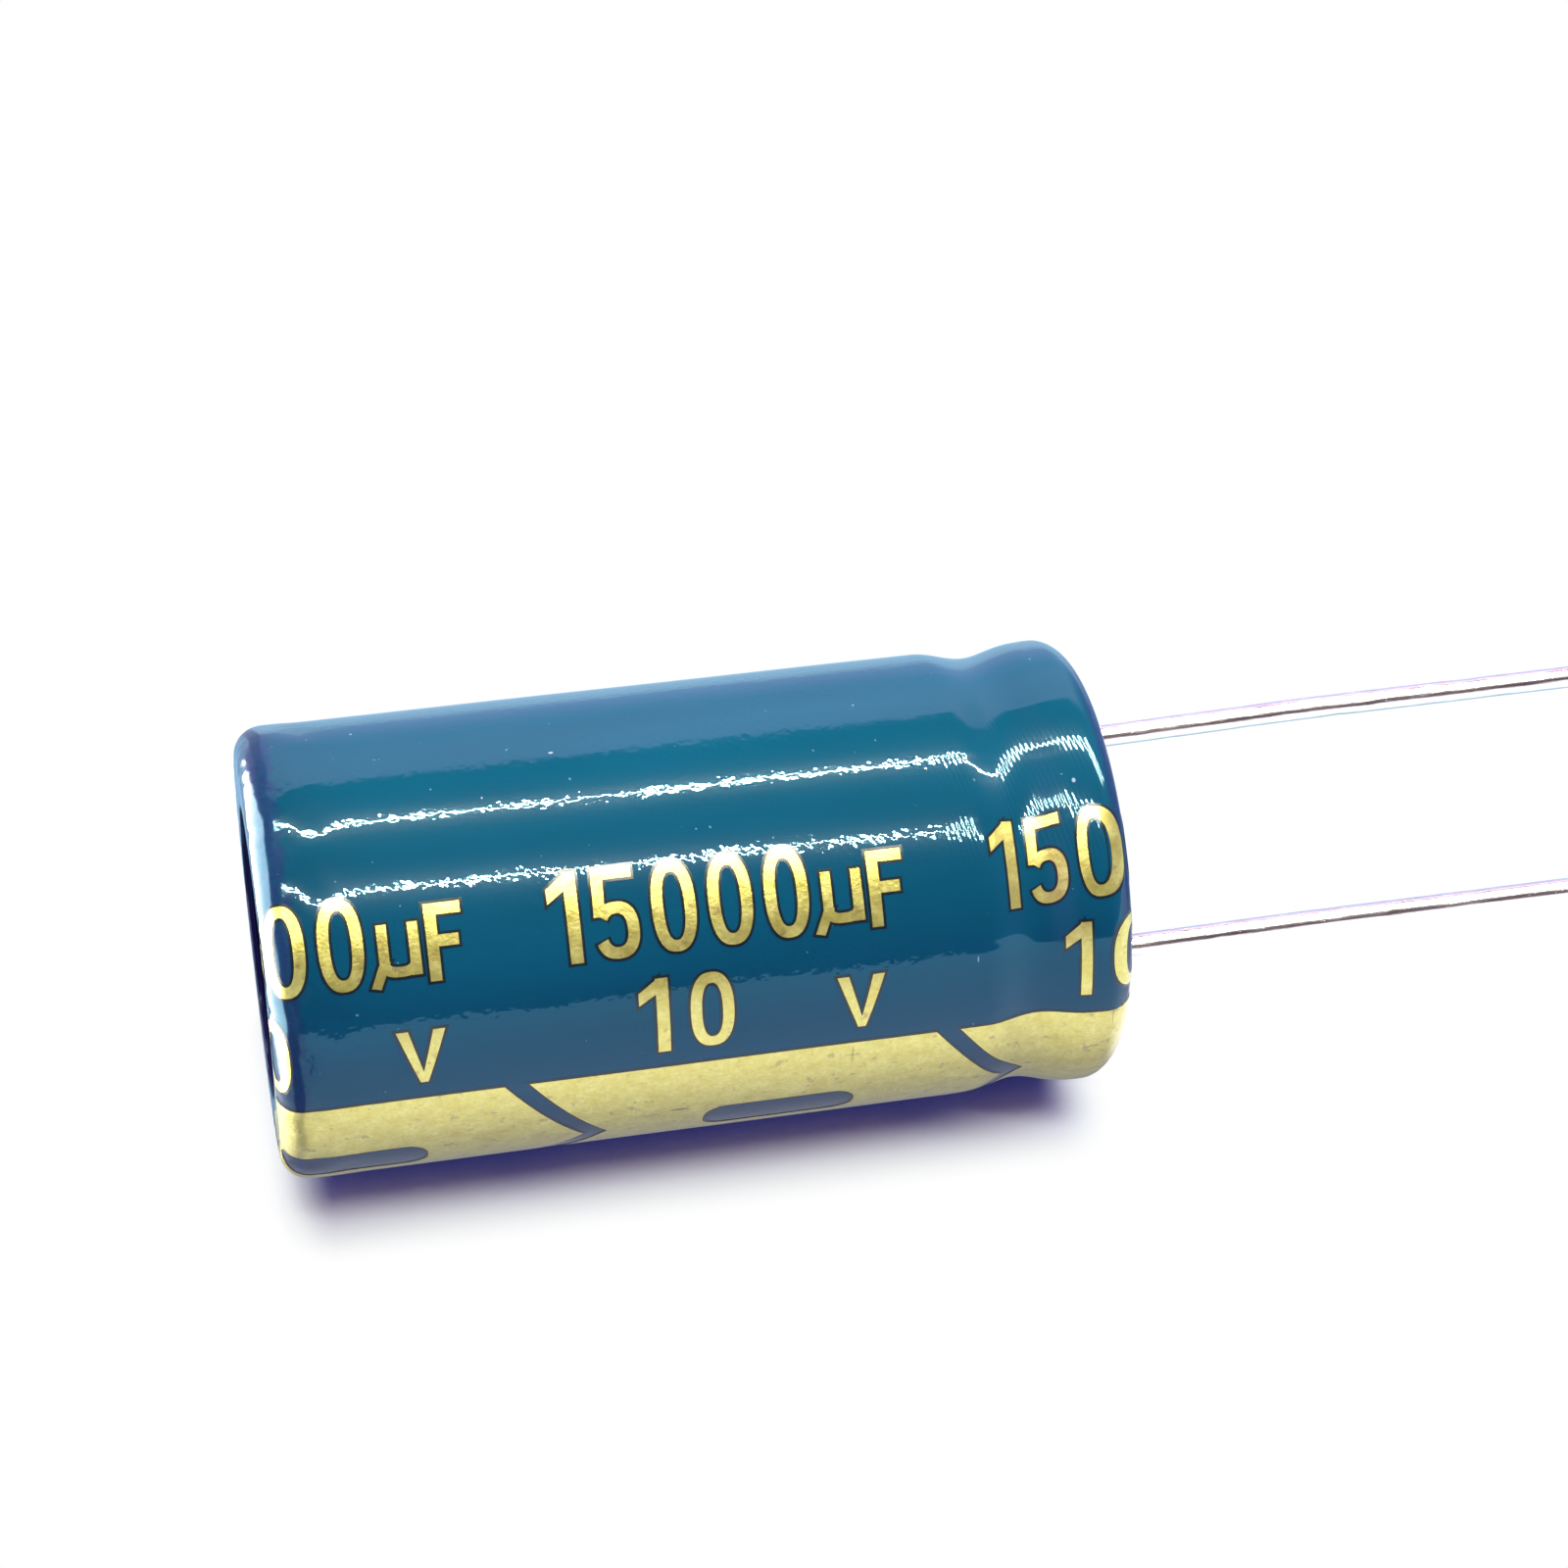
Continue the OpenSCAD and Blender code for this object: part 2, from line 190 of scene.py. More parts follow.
def in_mm(tree, stretch=(1, 1, 1)):
    """Object coordinates in millimetres, each axis multiplied by its stretch."""
    place_node = add(tree, "TexCoord")
    scaled = add(tree, "Mapping",
                 {"Vector": place_node.outputs["Object"], "Scale": [1000 * k for k in stretch]})
    return scaled.outputs["Vector"]


def mark(tree, flat, at, half):
    """1 inside an ellipse of half sizes (mm) about a point of a piece's flat map, and 0 outside it: the
    length of (place - at) / half falls from 1.1 at the rim to 0.7 where the mark is full."""
    away = add(tree, "VectorMath", {0: flat, 1: (*at, 0)}, operation="SUBTRACT").outputs[0]
    away = add(tree, "VectorMath", {0: away, 1: (1 / half[0], 1 / half[1], 0)},
               operation="MULTIPLY").outputs[0]
    return add(tree, "MapRange",
               (add(tree, "VectorMath", {0: away}, operation="LENGTH").outputs["Value"], 1.1, 0.7))


print("coordinates are in metres, so patterns multiply them by", round(1 / MM))

# %% [markdown]
# ## The camera
# The camera is not measured but fitted: the body's two outlines, its length, the two leads and the print that
# repeats every 15.07 mm were all matched to the photograph by least squares. That gives a truer view than
# moving it by eye. It looks at the standing can from the front, level with the closed end, rolled by a
# quarter turn, so that the leads point to the right of the picture.

# %% Camera
def turn(axis, degrees):
    """Rotation matrix about one axis of the camera's own frame: right, down, forward."""
    c, s = math.cos(math.radians(degrees)), math.sin(math.radians(degrees))
    return {"x": np.array([[1, 0, 0], [0, c, -s], [0, s, c]]),
            "y": np.array([[c, 0, s], [0, 1, 0], [-s, 0, c]]),
            "z": np.array([[c, -s, 0], [s, c, 0], [0, 0, 1]])}[axis]


# the rows of lying are the camera's right, down and forward for a part that lies along x
lying = np.array([[1, 0, 0], [0, 0, -1], [0, 1, 0]])
# from the lying part to the standing one
to_part = np.array([[0, 0, -1], [0, 1, 0], [1, 0, 0]])
# the fit: how far the camera is turned about each of its axes, in degrees, and its place beside the lying
# part, in mm
TILT, SWING, ROLL = -1.7832, -9.413, -6.5865
EYE_LYING = (-0.97921, -123.737, 0.0)
looks = turn("z", ROLL) @ turn("y", SWING) @ turn("x", TILT) @ lying
right, down, forward = (to_part @ row for row in looks)
eye = to_part @ np.array(EYE_LYING) * MM
FOCAL_PIXELS, PICTURE_PIXELS, SENSOR_MM = 3534.94, 1600, 36

camera_data = bpy.data.cameras.new("camera")
camera_data.lens = SENSOR_MM * FOCAL_PIXELS / PICTURE_PIXELS
camera_data.clip_start, camera_data.clip_end = 0.005, 20
camera = bpy.data.objects.new("camera", camera_data)
pose = np.eye(4)
pose[:3, 0], pose[:3, 1], pose[:3, 2], pose[:3, 3] = right, -down, -forward, eye
camera.matrix_world = Matrix(pose.tolist())
bpy.context.scene.collection.objects.link(camera)
bpy.context.scene.camera = camera
print("camera at, mm:", np.round(eye / MM, 2), "lens", round(camera_data.lens, 2))

# %% [markdown]
# ## The finish of the table
# The part lies on a white table that is so bright that only the shadow shows. Here the table is an upright
# sheet that touches the side of the can. More light would make it white too, but would bleach the part. So
# its finish asks what sort of ray looks at it. The camera sees true shading near the part and plain white
# beyond. A reflection sees a pale glow, with a painted shadow close to the part on the viewer's side, as the
# sleeve mirrors it in the photograph. It is clear when seen from behind, so that it never hides the part in
# other views.

# %% What a reflection sees of the table
scene = bpy.context.scene
scene.view_settings.view_transform = "Standard"
BODY_R = 8.0


def on_body(degrees):
    """Unit vector out of the body at an angle from -Y, positive towards -X."""
    return np.array([-math.sin(math.radians(degrees)), -math.cos(math.radians(degrees)), 0.0])


def table_glow_painted_shadow(tree, x, y):
    """Colour that the film mirrors in the table, from the place on it in mm (x away from the viewer, y along
    the can): a painted shadow, dark close to the can, where its own shadow is, brighter 14 mm in front
    of it and beyond its ends, and behind the can a blue that gets paler from 15 to 75 mm."""
    # painted shadow: close to the can, on the viewer's side, the glow is darker
    near = add(tree, "MapRange", (x, -14, -7.5, 1.0, 0.38))
    nearer = add(tree, "MapRange", (x, -8, -2.5, 1.0, 0.36))
    front_share = add(tree, "Math", (near, nearer), operation="MULTIPLY")
    past_ends = add(tree, "MapRange", (add(tree, "Math", (y,), operation="ABSOLUTE"), 15.5, 19))
    front_share = add(tree, "Math", (front_share, past_ends), operation="MAXIMUM")
    front = add(tree, "Mix", (front_share, (0, 0, 0, 1), (1.6, 1.66, 1.9, 1)), data_type="RGBA")
    far = add(tree, "MapRange", (x, 15, 75))
    back = add(tree, "Mix", (far, (0.36, 0.66, 0.92, 1), (0.80, 1.05, 1.41, 1)), data_type="RGBA")
    return add(tree, "Mix", (add(tree, "MapRange", (x, -3, 4)), front, back), data_type="RGBA")


def ring_only(tree, ray, inner=8.5, outer=20):
    """1 for a reflection or a shadow that meets the sheet between inner and outer (mm from the axis), else 0:
    the product of two ramps of the distance. The ring hides the corner's screen from the upright side of the
    body."""
    from_axis = add(tree, "VectorMath", {0: in_mm(tree)}, operation="LENGTH").outputs["Value"]
    past_inner = add(tree, "MapRange", (from_axis, inner, inner + 0.3))
    before_outer = add(tree, "MapRange", (from_axis, outer + 1, outer))
    ring = add(tree, "Math", (past_inner, before_outer), operation="MULTIPLY")
    kind = add(tree, "Math", (ray["Is Glossy Ray"], ray["Is Shadow Ray"]), operation="MAXIMUM")
    return add(tree, "Math", (ring, kind), operation="MULTIPLY")


AWAY_FROM_TABLE = 49.0
contact = -on_body(AWAY_FROM_TABLE)
print("side of the can that is turned to the table:", np.round(contact, 3))

# %% [markdown]
# ## White sheet
# The sheet itself is paper white, with a painted violet tint where the part's shadow falls and a faint blue
# glow, which is painted light. Near the part it is shaded by the lamps as any paper is, so the shadow is a
# true one, and further out it glows white for the camera. Mix nodes choose between the two by the kind
# of ray.

# %% White sheet
def sheet_finish(name, half_sizes, fades, seen_by_all):
    """White sheet. Inside a rectangle of half_sizes about its origin (mm) it shows its own shading, with a
    painted violet tint close to the part, where the shadow falls. Over the next fades (mm) it turns plain
    white for the camera: the share is a smooth step of length(max(|x| - half, 0) / fade). It throws back
    little light, and a faint blue glow of its own, which is painted light, keeps the shadow as cool as it
    is.
    Seen from behind it is clear, and so it is for all rays but the camera's unless seen_by_all, apart from a
    ring round the part."""
    material, tree, paper = new_finish(name)
    # painted light: a faint blue glow of the paper keeps its shadow blue
    give(tree, paper, {"Roughness": 0.9, "Specular IOR Level": 0.0,
                       "Emission Color": (0.03, 0.0, 1.0, 1), "Emission Strength": 0.05})
    beyond = add(tree, "TexCoord").outputs["Object"]
    for how, second in (("ABSOLUTE", (0, 0, 0)), ("SUBTRACT", (half_sizes[0] * MM, half_sizes[1] * MM, 0)),
                        ("MAXIMUM", (0, 0, 0)), ("MULTIPLY", (1 / fades[0] / MM, 1 / fades[1] / MM, 0))):
        beyond = add(tree, "VectorMath", {0: beyond, 1: second}, operation=how).outputs[0]
    away = add(tree, "VectorMath", {0: beyond}, operation="LENGTH").outputs["Value"]
    turning = add(tree, "MapRange", {"Value": away}, interpolation_type="SMOOTHSTEP").outputs["Result"]
    ray = add(tree, "LightPath").outputs
    # painted shade tint: violet close to the part, where its shadow falls, pale blue-green further out
    shade = add(tree, "Mix", (turning, colour("#EEE2FF"), colour("#E6F6F4")), data_type="RGBA")
    shade = add(tree, "Mix", (ray["Is Diffuse Ray"], shade, (0.10, 0.08, 0.30, 1)), data_type="RGBA")
    feed(tree, shade, paper.inputs["Base Color"])
    spot = add(tree, "SeparateXYZ", {0: in_mm(tree)}).outputs
    mirrored = table_glow_painted_shadow(tree, spot["X"], spot["Y"]) if seen_by_all else (0.4, 0.45, 0.65, 1)
    white = add(tree, "Mix", (ray["Is Glossy Ray"], (1, 1, 1, 1), mirrored), data_type="RGBA")
    white = add(tree, "Emission", {"Color": white})
    direct = add(tree, "Math", (ray["Is Camera Ray"], ray["Is Transmission Ray"]), operation="MAXIMUM")
    share = add(tree, "Math", (direct, turning), operation="MULTIPLY")
    share = add(tree, "Math", (ray["Is Glossy Ray"], share), operation="MAXIMUM")
    shown = add(tree, "MixShader", {0: share, 1: paper.outputs[0], 2: white.outputs[0]})
    hidden = add(tree, "NewGeometry").outputs["Backfacing"]
    if not seen_by_all:
        seen = add(tree, "Math", (ray["Is Camera Ray"], ring_only(tree, ray)), operation="MAXIMUM")
        hidden = add(tree, "Math", (hidden, add(tree, "Math", (1.0, seen), operation="SUBTRACT")),
                     operation="MAXIMUM")
    clear = add(tree, "BsdfTransparent")
    mixed = add(tree, "MixShader", {0: hidden, 1: shown.outputs[0], 2: clear.outputs[0]})
    feed(tree, mixed.outputs[0], tree.nodes["Material Output"].inputs["Surface"])
    return material


SHEETS = {"table": ((4.2, 13.1), (3.6, 2.6)), "floor": ((6, 6), (18, 18))}
print("half sizes that keep their own shading, mm:", {name: sizes[0] for name, sizes in SHEETS.items()})

# %% [markdown]
# ## Table and floor
# The table touches the back of the body, opposite the line that lies 49 degrees round from the front. A thin
# gap keeps it off the film's own waves. A second sheet lies under the closed end, for views from the side and
# from above, where a part that stands needs a floor. Both are part of the stage and not of the part.

# %% Table and floor
def stage_sheet(name, centre_mm, across, along, sizes_mm, finish):
    """A flat sheet through centre_mm that faces across x along: these unit vectors are its own X and Y, and
    sizes_mm its reach each way."""
    corners = np.array([[-1, -1], [1, -1], [1, 1], [-1, 1]]) * np.array(sizes_mm)
    sheet = build_mesh(name, np.column_stack([corners, np.zeros(4)]), [np.array([[0, 1, 2, 3]])],
                       smooth=False)
    turned = np.eye(4)
    turned[:3, 0], turned[:3, 1], turned[:3, 2] = across, along, np.cross(across, along)
    turned[:3, 3] = np.array(centre_mm) * MM
    sheet.matrix_world = Matrix(turned.tolist())
    sheet.data.materials.append(finish)
    return sheet


HALF_BODY = 15.0
TABLE_AT = BODY_R + 0.06
to_viewer = np.array([contact[1], -contact[0], 0])
table = stage_sheet("table", contact * TABLE_AT + np.array([0, 0, HALF_BODY]), -to_viewer, (0, 0, -1),
                    (260, 400), sheet_finish("white table", *SHEETS["table"], True))
floor = stage_sheet("floor", (0, 0, -0.02), (1, 0, 0), (0, 1, 0), (400, 400),
                    sheet_finish("white floor", *SHEETS["floor"], False))
print("sheets:", table.name, "and", floor.name)

# %% [markdown]
# ## The room
# What stands round the table is only seen as a reflection and as soft light. A picture of a real room could
# be used, but a few blended colours are enough: a bright wall behind, a dark room in front, and violet and
# blue at the two ends. The camera itself sees plain white, so that the background is as bare as in the
# photograph.

# %% Room
world = bpy.data.worlds.new("room")
scene.world = world
world.use_nodes = True
room = world.node_tree
sky = room.nodes["Background"]
facing = add(room, "SeparateXYZ", {0: add(room, "TexCoord").outputs["Generated"]}).outputs
wall = add(room, "MapRange", (facing["Y"], -0.05, 0.0))
lit = add(room, "Mix", (wall, (0.10, 0.085, 0.22, 1), (0.55, 0.50, 0.75, 1)), data_type="RGBA")
# the wall is brightest high up, and dimmer and bluer low down
bright = add(room, "Mix",
             (add(room, "MapRange", (facing["Y"], 0.0, 0.5)), (1.9, 1.25, 2.0, 1), (0.66, 0.69, 1.25, 1)),
             data_type="RGBA")
mirrored = add(room, "Mix", (wall, (0.10, 0.07, 0.10, 1), bright), data_type="RGBA")
mirrored = add(room, "Mix",
               (add(room, "MapRange", (facing["Z"], -0.08, -0.45)), mirrored, (0.8, 0.55, 1.2, 1)),
               data_type="RGBA")
mirrored = add(room, "Mix",
               (add(room, "MapRange", (facing["Z"], 0.45, 0.70)), mirrored, (0.25, 0.18, 0.45, 1)),
               data_type="RGBA")
room_ray = add(room, "LightPath").outputs
seen_room = add(room, "Math", (room_ray["Is Camera Ray"], room_ray["Is Transmission Ray"]),
                operation="MAXIMUM")
level = add(room, "Mix", (room_ray["Is Glossy Ray"], lit, mirrored), data_type="RGBA")
feed(room, add(room, "Mix", (seen_room, level, (1, 1, 1, 1)), data_type="RGBA"), sky.inputs["Color"])
print("room colours:", sum(node.bl_idname == "ShaderNodeMix" for node in room.nodes), "blends")

# %% [markdown]
# ## The tubes
# The photograph is lit by two long ceiling tubes, which leave two thin white lines on the sleeve. Each tube
# is two long area lamps here. One gives the light and the shadow and is never mirrored. The other stands a
# little closer, and is only mirrored, so that its lines can be as thin and as white as they are without more
# light on the part. The same kind of lamp serves as a screen that only some pieces mirror, as a photographer
# would set up a card.

# %% Tubes
def tube_lamp(name, start_mm, end_mm, width_mm, radiance, tint="#FFFFFF"):
    """A long lamp from one point to another, turned to face the part. Its power is radiance x pi x area."""
    start, end = np.array(start_mm, float), np.array(end_mm, float)
    middle, length = (start + end) / 2, np.linalg.norm(end - start)
    run = (end - start) / length
    out = middle - np.array([0, 0, HALF_BODY])
    out -= run * (out @ run)
    out /= np.linalg.norm(out)
    lamp_data = bpy.data.lights.new(name, "AREA")
    lamp_data.shape = "RECTANGLE"
    lamp_data.size, lamp_data.size_y = length * MM, width_mm * MM
    lamp_data.energy = radiance * math.pi * length * width_mm * MM * MM
    lamp_data.color = colour(tint)[:3]
    lamp = bpy.data.objects.new(name, lamp_data)
    turned = np.eye(4)
    turned[:3, 0], turned[:3, 1], turned[:3, 2], turned[:3, 3] = run, np.cross(out, run), out, middle * MM
    lamp.matrix_world = Matrix(turned.tolist())
    lamp.visible_camera = False
    scene.collection.objects.link(lamp)
    return lamp


def on_table(across, above, z):
    """Point in mm that lies so far towards the viewer from where the can touches the table, and above the
    table."""
    point = contact * (TABLE_AT - above) + to_viewer * across
    return (point[0], point[1], z)


def mirror_screen(name, start_mm, end_mm, width_mm, radiance, pieces):
    """A lamp that is only seen as a reflection, and only in the pieces it is meant for."""
    screen = tube_lamp(name, start_mm, end_mm, width_mm, radiance)
    screen.visible_diffuse = False
    group = bpy.data.collections.new(name)
    for piece in pieces:
        group.objects.link(piece)
    screen.light_linking.receiver_collection = group
    return screen


TUBE_LIGHT, GLINT_LIGHT = 48, 300
CLOSER, NARROWER = 0.97, 0.55
for name, start, end, width in (("tube_1", (-400, -200, -150), (-400, -330, 800), 18),
                                ("tube_2", (-400, -640, -170), (-400, -1500, 700), 30)):
    tube_lamp(name, start, end, width, TUBE_LIGHT, "#F1FAFA").visible_glossy = False
    closer = [CLOSER * np.array(point) for point in (start, end)]
    glint = tube_lamp(name + "_glint", *closer, width * NARROWER, GLINT_LIGHT, "#FFFFF0")
    glint.visible_diffuse = False

# %% [markdown]
# ## The sleeve
# The sleeve is a length of plastic tube, printed flat and then shrunk on with hot air. Its outline is drawn
# once, as a line that starts at the lip on the closed end, turns the corner, runs up the body, dips into the
# bead groove, stands out over the rolled rim and laps over it. Everything on the skin is placed by two
# numbers: the length s along that line in mm, and the angle round the body. The print uses the same function,
# so it follows each dent.

# %% The skin of the sleeve
WALL = 0.15
CORNER_R = 1.1
RIM_R = 0.95
RIM_Z = 30.0 - RIM_R
OPENING_R = 5.25
LAP = math.radians(120)
LIP_S = CORNER_R * (1 - math.pi / 2) - (BODY_R - CORNER_R - OPENING_R)
END_S = RIM_Z + RIM_R * LAP


def waves(angle, turns, phases, shares):
    """Sum of sines of whole numbers of turns round the body, so that it closes on itself."""
    return sum(k * np.sin(n * angle + p) for n, p, k in zip(turns, phases, shares))


def relief(s, angle):
    """How far the skin stands out of its plain outline, in mm. It is a sum: the bead groove (a raised
    cosine), the ridge over the rim and the bulge at the corner (bell curves), slow waves along the body, pull
    lines round the groove, and the puckers on the corner of the closed end (each a sum of sines round the
    body, under bell curves of s), and the hem beside the corner (two bumps of s, times a sine of twenty
    turns)."""
    t = (s - 26.5) / 3.75
    groove = -0.34 * np.where(np.abs(t) < 0.5, (1 + np.cos(2 * np.pi * t)) / 2, 0)
    ridge = 0.05 * np.exp(-((s - 28.95) / 0.6) ** 2)
    bulge = 0.022 * np.exp(-((s - 1.75) / 0.45) ** 2)
    slow = (0.006 * np.sin(0.55 * s + 2.2 * np.sin(2 * angle + 0.5))
            * waves(angle, (3, 5, 8), (0.4, 2.1, 4.0), (0.5, 0.6, 0.4)))
    held = step(s, 2.0, 5.0) * (1 - step(s, 22.0, 24.0))
    around = (np.exp(-((s - 24.9) / 0.9) ** 2) + 0.9 * np.exp(-((s - 27.6) / 0.7) ** 2)
              + 0.5 * np.exp(-((s - 29.3) / 0.7) ** 2))
    lines = 0.0014 * waves(angle + 0.004 * np.sin(3 * s),
                           (61, 83, 104, 127), (0.2, 1.9, 3.3, 5.0), (0.8, 0.7, 0.6, 0.5))
    corner = np.exp(-((s + 0.1) / 0.75) ** 2)
    puckers = 0.010 * waves(angle + 0.02 * np.sin(2.5 * s),
                            (17, 29, 43, 58), (1.2, 0.3, 4.4, 2.6), (0.5, 0.7, 0.6, 0.5))
    hem = (0.0175 * (np.exp(-((s - 2.4) / 0.5) ** 2) - 1.2 * np.exp(-((s - 1.2) / 0.45) ** 2))
           * np.sin(20 * angle - 1.05))
    return groove + ridge + bulge + hem + slow * (0.4 + 0.6 * held) + lines * around + puckers * corner


def skin(s, angle, out=0.0):
    """Point of the skin at length s and angle, moved out along the plain outline's normal by relief plus out.
    The corner and the rim are arcs; a is how far the first has still to turn, b how far the second has
    turned."""
    a = np.clip((CORNER_R - s) / CORNER_R, 0, np.pi / 2)
    b = np.clip((s - RIM_Z) / RIM_R, 0, LAP)
    inward = np.minimum(s - CORNER_R * (1 - np.pi / 2), 0)
    r = BODY_R - CORNER_R * (1 - np.cos(a)) + inward - RIM_R * (1 - np.cos(b))
    z = np.clip(s, CORNER_R, RIM_Z) - CORNER_R * np.sin(a) + RIM_R * np.sin(b)
    push = relief(s, angle) + out
    r = r + push * np.cos(a) * np.cos(b)
    z = np.maximum(z + push * (np.sin(b) - np.sin(a)), 0.0 if np.ndim(out) == 0 and out >= 0 else -1.0)
    return np.stack([-r * np.sin(angle), -r * np.cos(angle), z], axis=-1)


print("skin from s =", round(LIP_S, 2), "to", round(END_S, 2), "mm")

# %% [markdown]
# ## The film as a closed shell
# Real film has a thickness, which shows at its cut edges. A Solidify modifier would give it, but the lips
# here wander and are thicker at the cut, so both sides are worked out: the grid runs over the outer skin,
# round a rounded edge, and back along the inner skin. Rows lie close together where the outline turns, and
# far apart on the plain body.

# %% The sleeve's mesh
def lean(s, angle):
    """The cut end is not quite square: on the front the film stands back by up to 0.2 mm. This is
    0.10 (1 + cos angle), faded out where the body starts."""
    return 0.10 * (1 + np.cos(angle)) * (1 - step(s, -0.9, 1.2))


def sleeve_mesh(columns=500):
    """Closed shell: the skin at s moved in by a share of the film's thickness, 0 on the outside and 1 on the
    inside. The lips wander by a few tenths of a millimetre, and near the cut at the closed end the film is
    0.09 mm thicker, where it drew together."""
    outer_s = np.concatenate([np.linspace(LIP_S, -0.7, 7), np.linspace(-0.6, 1.1, 17),
                              np.linspace(1.25, 3.5, 16), np.linspace(4.1, 23.4, 28),
                              np.linspace(23.6, 30.3, 66), np.linspace(30.4, END_S, 8)])
    inner_s = np.concatenate([np.linspace(END_S, 29.2, 8), np.linspace(28.7, 23.8, 12), [16, 8, 2.0],
                              np.linspace(1.1, -0.6, 6), [LIP_S]])
    edge = np.array([0.35, 0.75])
    s = np.concatenate([outer_s, [END_S + 0.03] * 2, inner_s, [LIP_S - 0.03] * 2])
    inward = np.concatenate([0 * outer_s, edge, 0 * inner_s + 1, 1 - edge])
    angle = np.linspace(-np.pi, np.pi, columns, endpoint=False)
    s_grid, angle_grid = np.meshgrid(s, angle, indexing="ij")
    lip_1 = (0.16 * waves(angle, (2, 5, 11), (0.3, 1.0, 2.0), (1.0, 0.6, 0.3))
             * (1 - step(s_grid, LIP_S, -0.9)))
    lip_2 = (0.07 * waves(angle, (3, 7, 13), (1.3, 0.2, 2.9), (0.8, 0.8, 0.5))
             * step(s_grid, 30.4, END_S))
    thick = WALL + 0.09 * (1 - step(s_grid, LIP_S + 0.1, LIP_S + 0.9))
    points = skin(s_grid + lip_1 + lip_2, angle_grid, -thick * inward[:, None])
    points[..., 2] = np.maximum(points[..., 2], 0.0) + lean(s_grid, angle_grid)
    faces = grid_faces(len(s), columns, close_rows=True, close_columns=True)
    i, j = np.meshgrid(np.arange(len(s)), np.arange(columns), indexing="ij")
    i2 = (i + 1) % len(s)
    round_mm = (np.arange(columns + 1) / columns * 2 - 1) * np.pi * BODY_R
    corners = ((i, j), (i, j + 1), (i2, j + 1), (i2, j))
    flat = np.stack([np.stack([s[a], round_mm[b]], axis=-1) for a, b in corners], axis=2)
    return build_mesh("shrunk_sleeve", points.reshape(-1, 3), [faces], flat.reshape(-1, 2))


sleeve = sleeve_mesh()
print("sleeve:", len(sleeve.data.polygons), "faces")

# %% [markdown]
# ## The film's colour
# Shrink film is a plastic dyed through, a deep teal here. It is nearly plain, so a picture would add little,
# and a few soft patterns on the piece itself do it: a slow change of the dye, some dust, a mottled corner
# where the film was stretched, made bluer by a painted reflection, a cut edge made nearly black by painted
# shade, and over the rim a dull blue that is a painted reflection. The flat map says where those places are.

# %% Shrunk teal film: colour
film, tree, shader = new_finish("shrunk teal film")
where = in_mm(tree)
along = in_mm(tree, (1, 1, 0.25))
# dye: slightly uneven, from the stretching of the tube
uneven = add(tree, "MapRange", (add(tree, "TexNoise", (along, 0.35, 2, 0.55)), 0.3, 0.7))
dye = add(tree, "Mix", (uneven, colour("#106A80"), colour("#13728A")), data_type="RGBA")
dust = add(tree, "MapRange", (add(tree, "TexNoise", (where, 4.0, 1, 0.4)), 0.80, 0.81))
dyed = add(tree, "Mix", (dust, dye, colour("#8FC0CC")), data_type="RGBA")
flat_map = add(tree, "UVMap", uv_map="millimetres")
length_mm, round_mm = (add(tree, "SeparateXYZ", {0: flat_map.outputs["UV"]}).outputs[k] for k in ("X", "Y"))
# four small pale marks, where the film was touched or holds a grain of dust
for at, half in (((28.35, 2.65), (0.07, 0.09)), ((10.7, 6.28), (0.09, 0.05)),
                 ((8.1, 4.6), (0.03, 0.05)), ((24.3, -3.2), (0.03, 0.12))):
    dyed = add(tree, "Mix", (mark(tree, flat_map.outputs["UV"], at, half), dyed, colour("#D8EEF4")),
               data_type="RGBA")
# cut edge: painted nearly black, as painted shade of the opening's inner wall, which lies in shadow
cut = add(tree, "MapRange", (length_mm, LIP_S + 0.14, LIP_S + 0.04))
# on the corner the film is stretched round the can: mottled, with a ragged border, and its bluer tone is a
# painted reflection of the violet room that the corner faces
border = add(tree, "Math", (add(tree, "TexNoise", (where, 2.5, 3, 0.55)), 1.1), operation="MULTIPLY")
ragged = add(tree, "MapRange", (add(tree, "Math", (length_mm, border), operation="ADD"), 1.95, 1.6))
mottled = add(tree, "MapRange", (add(tree, "TexNoise", (where, 5.0, 2, 0.55)), 0.3, 0.7, 0.35, 1.0))
corner = add(tree, "Math", (ragged, mottled), operation="MULTIPLY")
dyed = add(tree, "Mix", (corner, dyed, colour("#33457E")), data_type="RGBA")
# over the rim the film is creased and dull, and its blue is a painted reflection of the dark room beyond
# the leads
lapped = add(tree, "MapRange", (length_mm, RIM_Z + 0.35, RIM_Z + 0.75))
dyed = add(tree, "Mix", (lapped, dyed, colour("#304B80")), data_type="RGBA")
# the cut edge's nearly black is painted shade
give(tree, shader, {"Base Color": add(tree, "Mix", (cut, dyed, colour("#1A1446")), data_type="RGBA")})
print("film colour:", len(tree.nodes), "nodes")

# %% [markdown]
# ## The film's gloss
# The skin of the film is smooth, so it mirrors the tubes as two thin white lines and the table as a pale
# veil. The veil in the photograph is greenish, so less red is mirrored than a clear film would send back. A
# second, softer gloss over the first gives the faint glow beside the lines.

# %% Shrunk teal film: gloss
dull = add(tree, "MapRange", (add(tree, "Math", (cut, lapped), operation="MAXIMUM"), 0, 1, 0.5, 0.05))
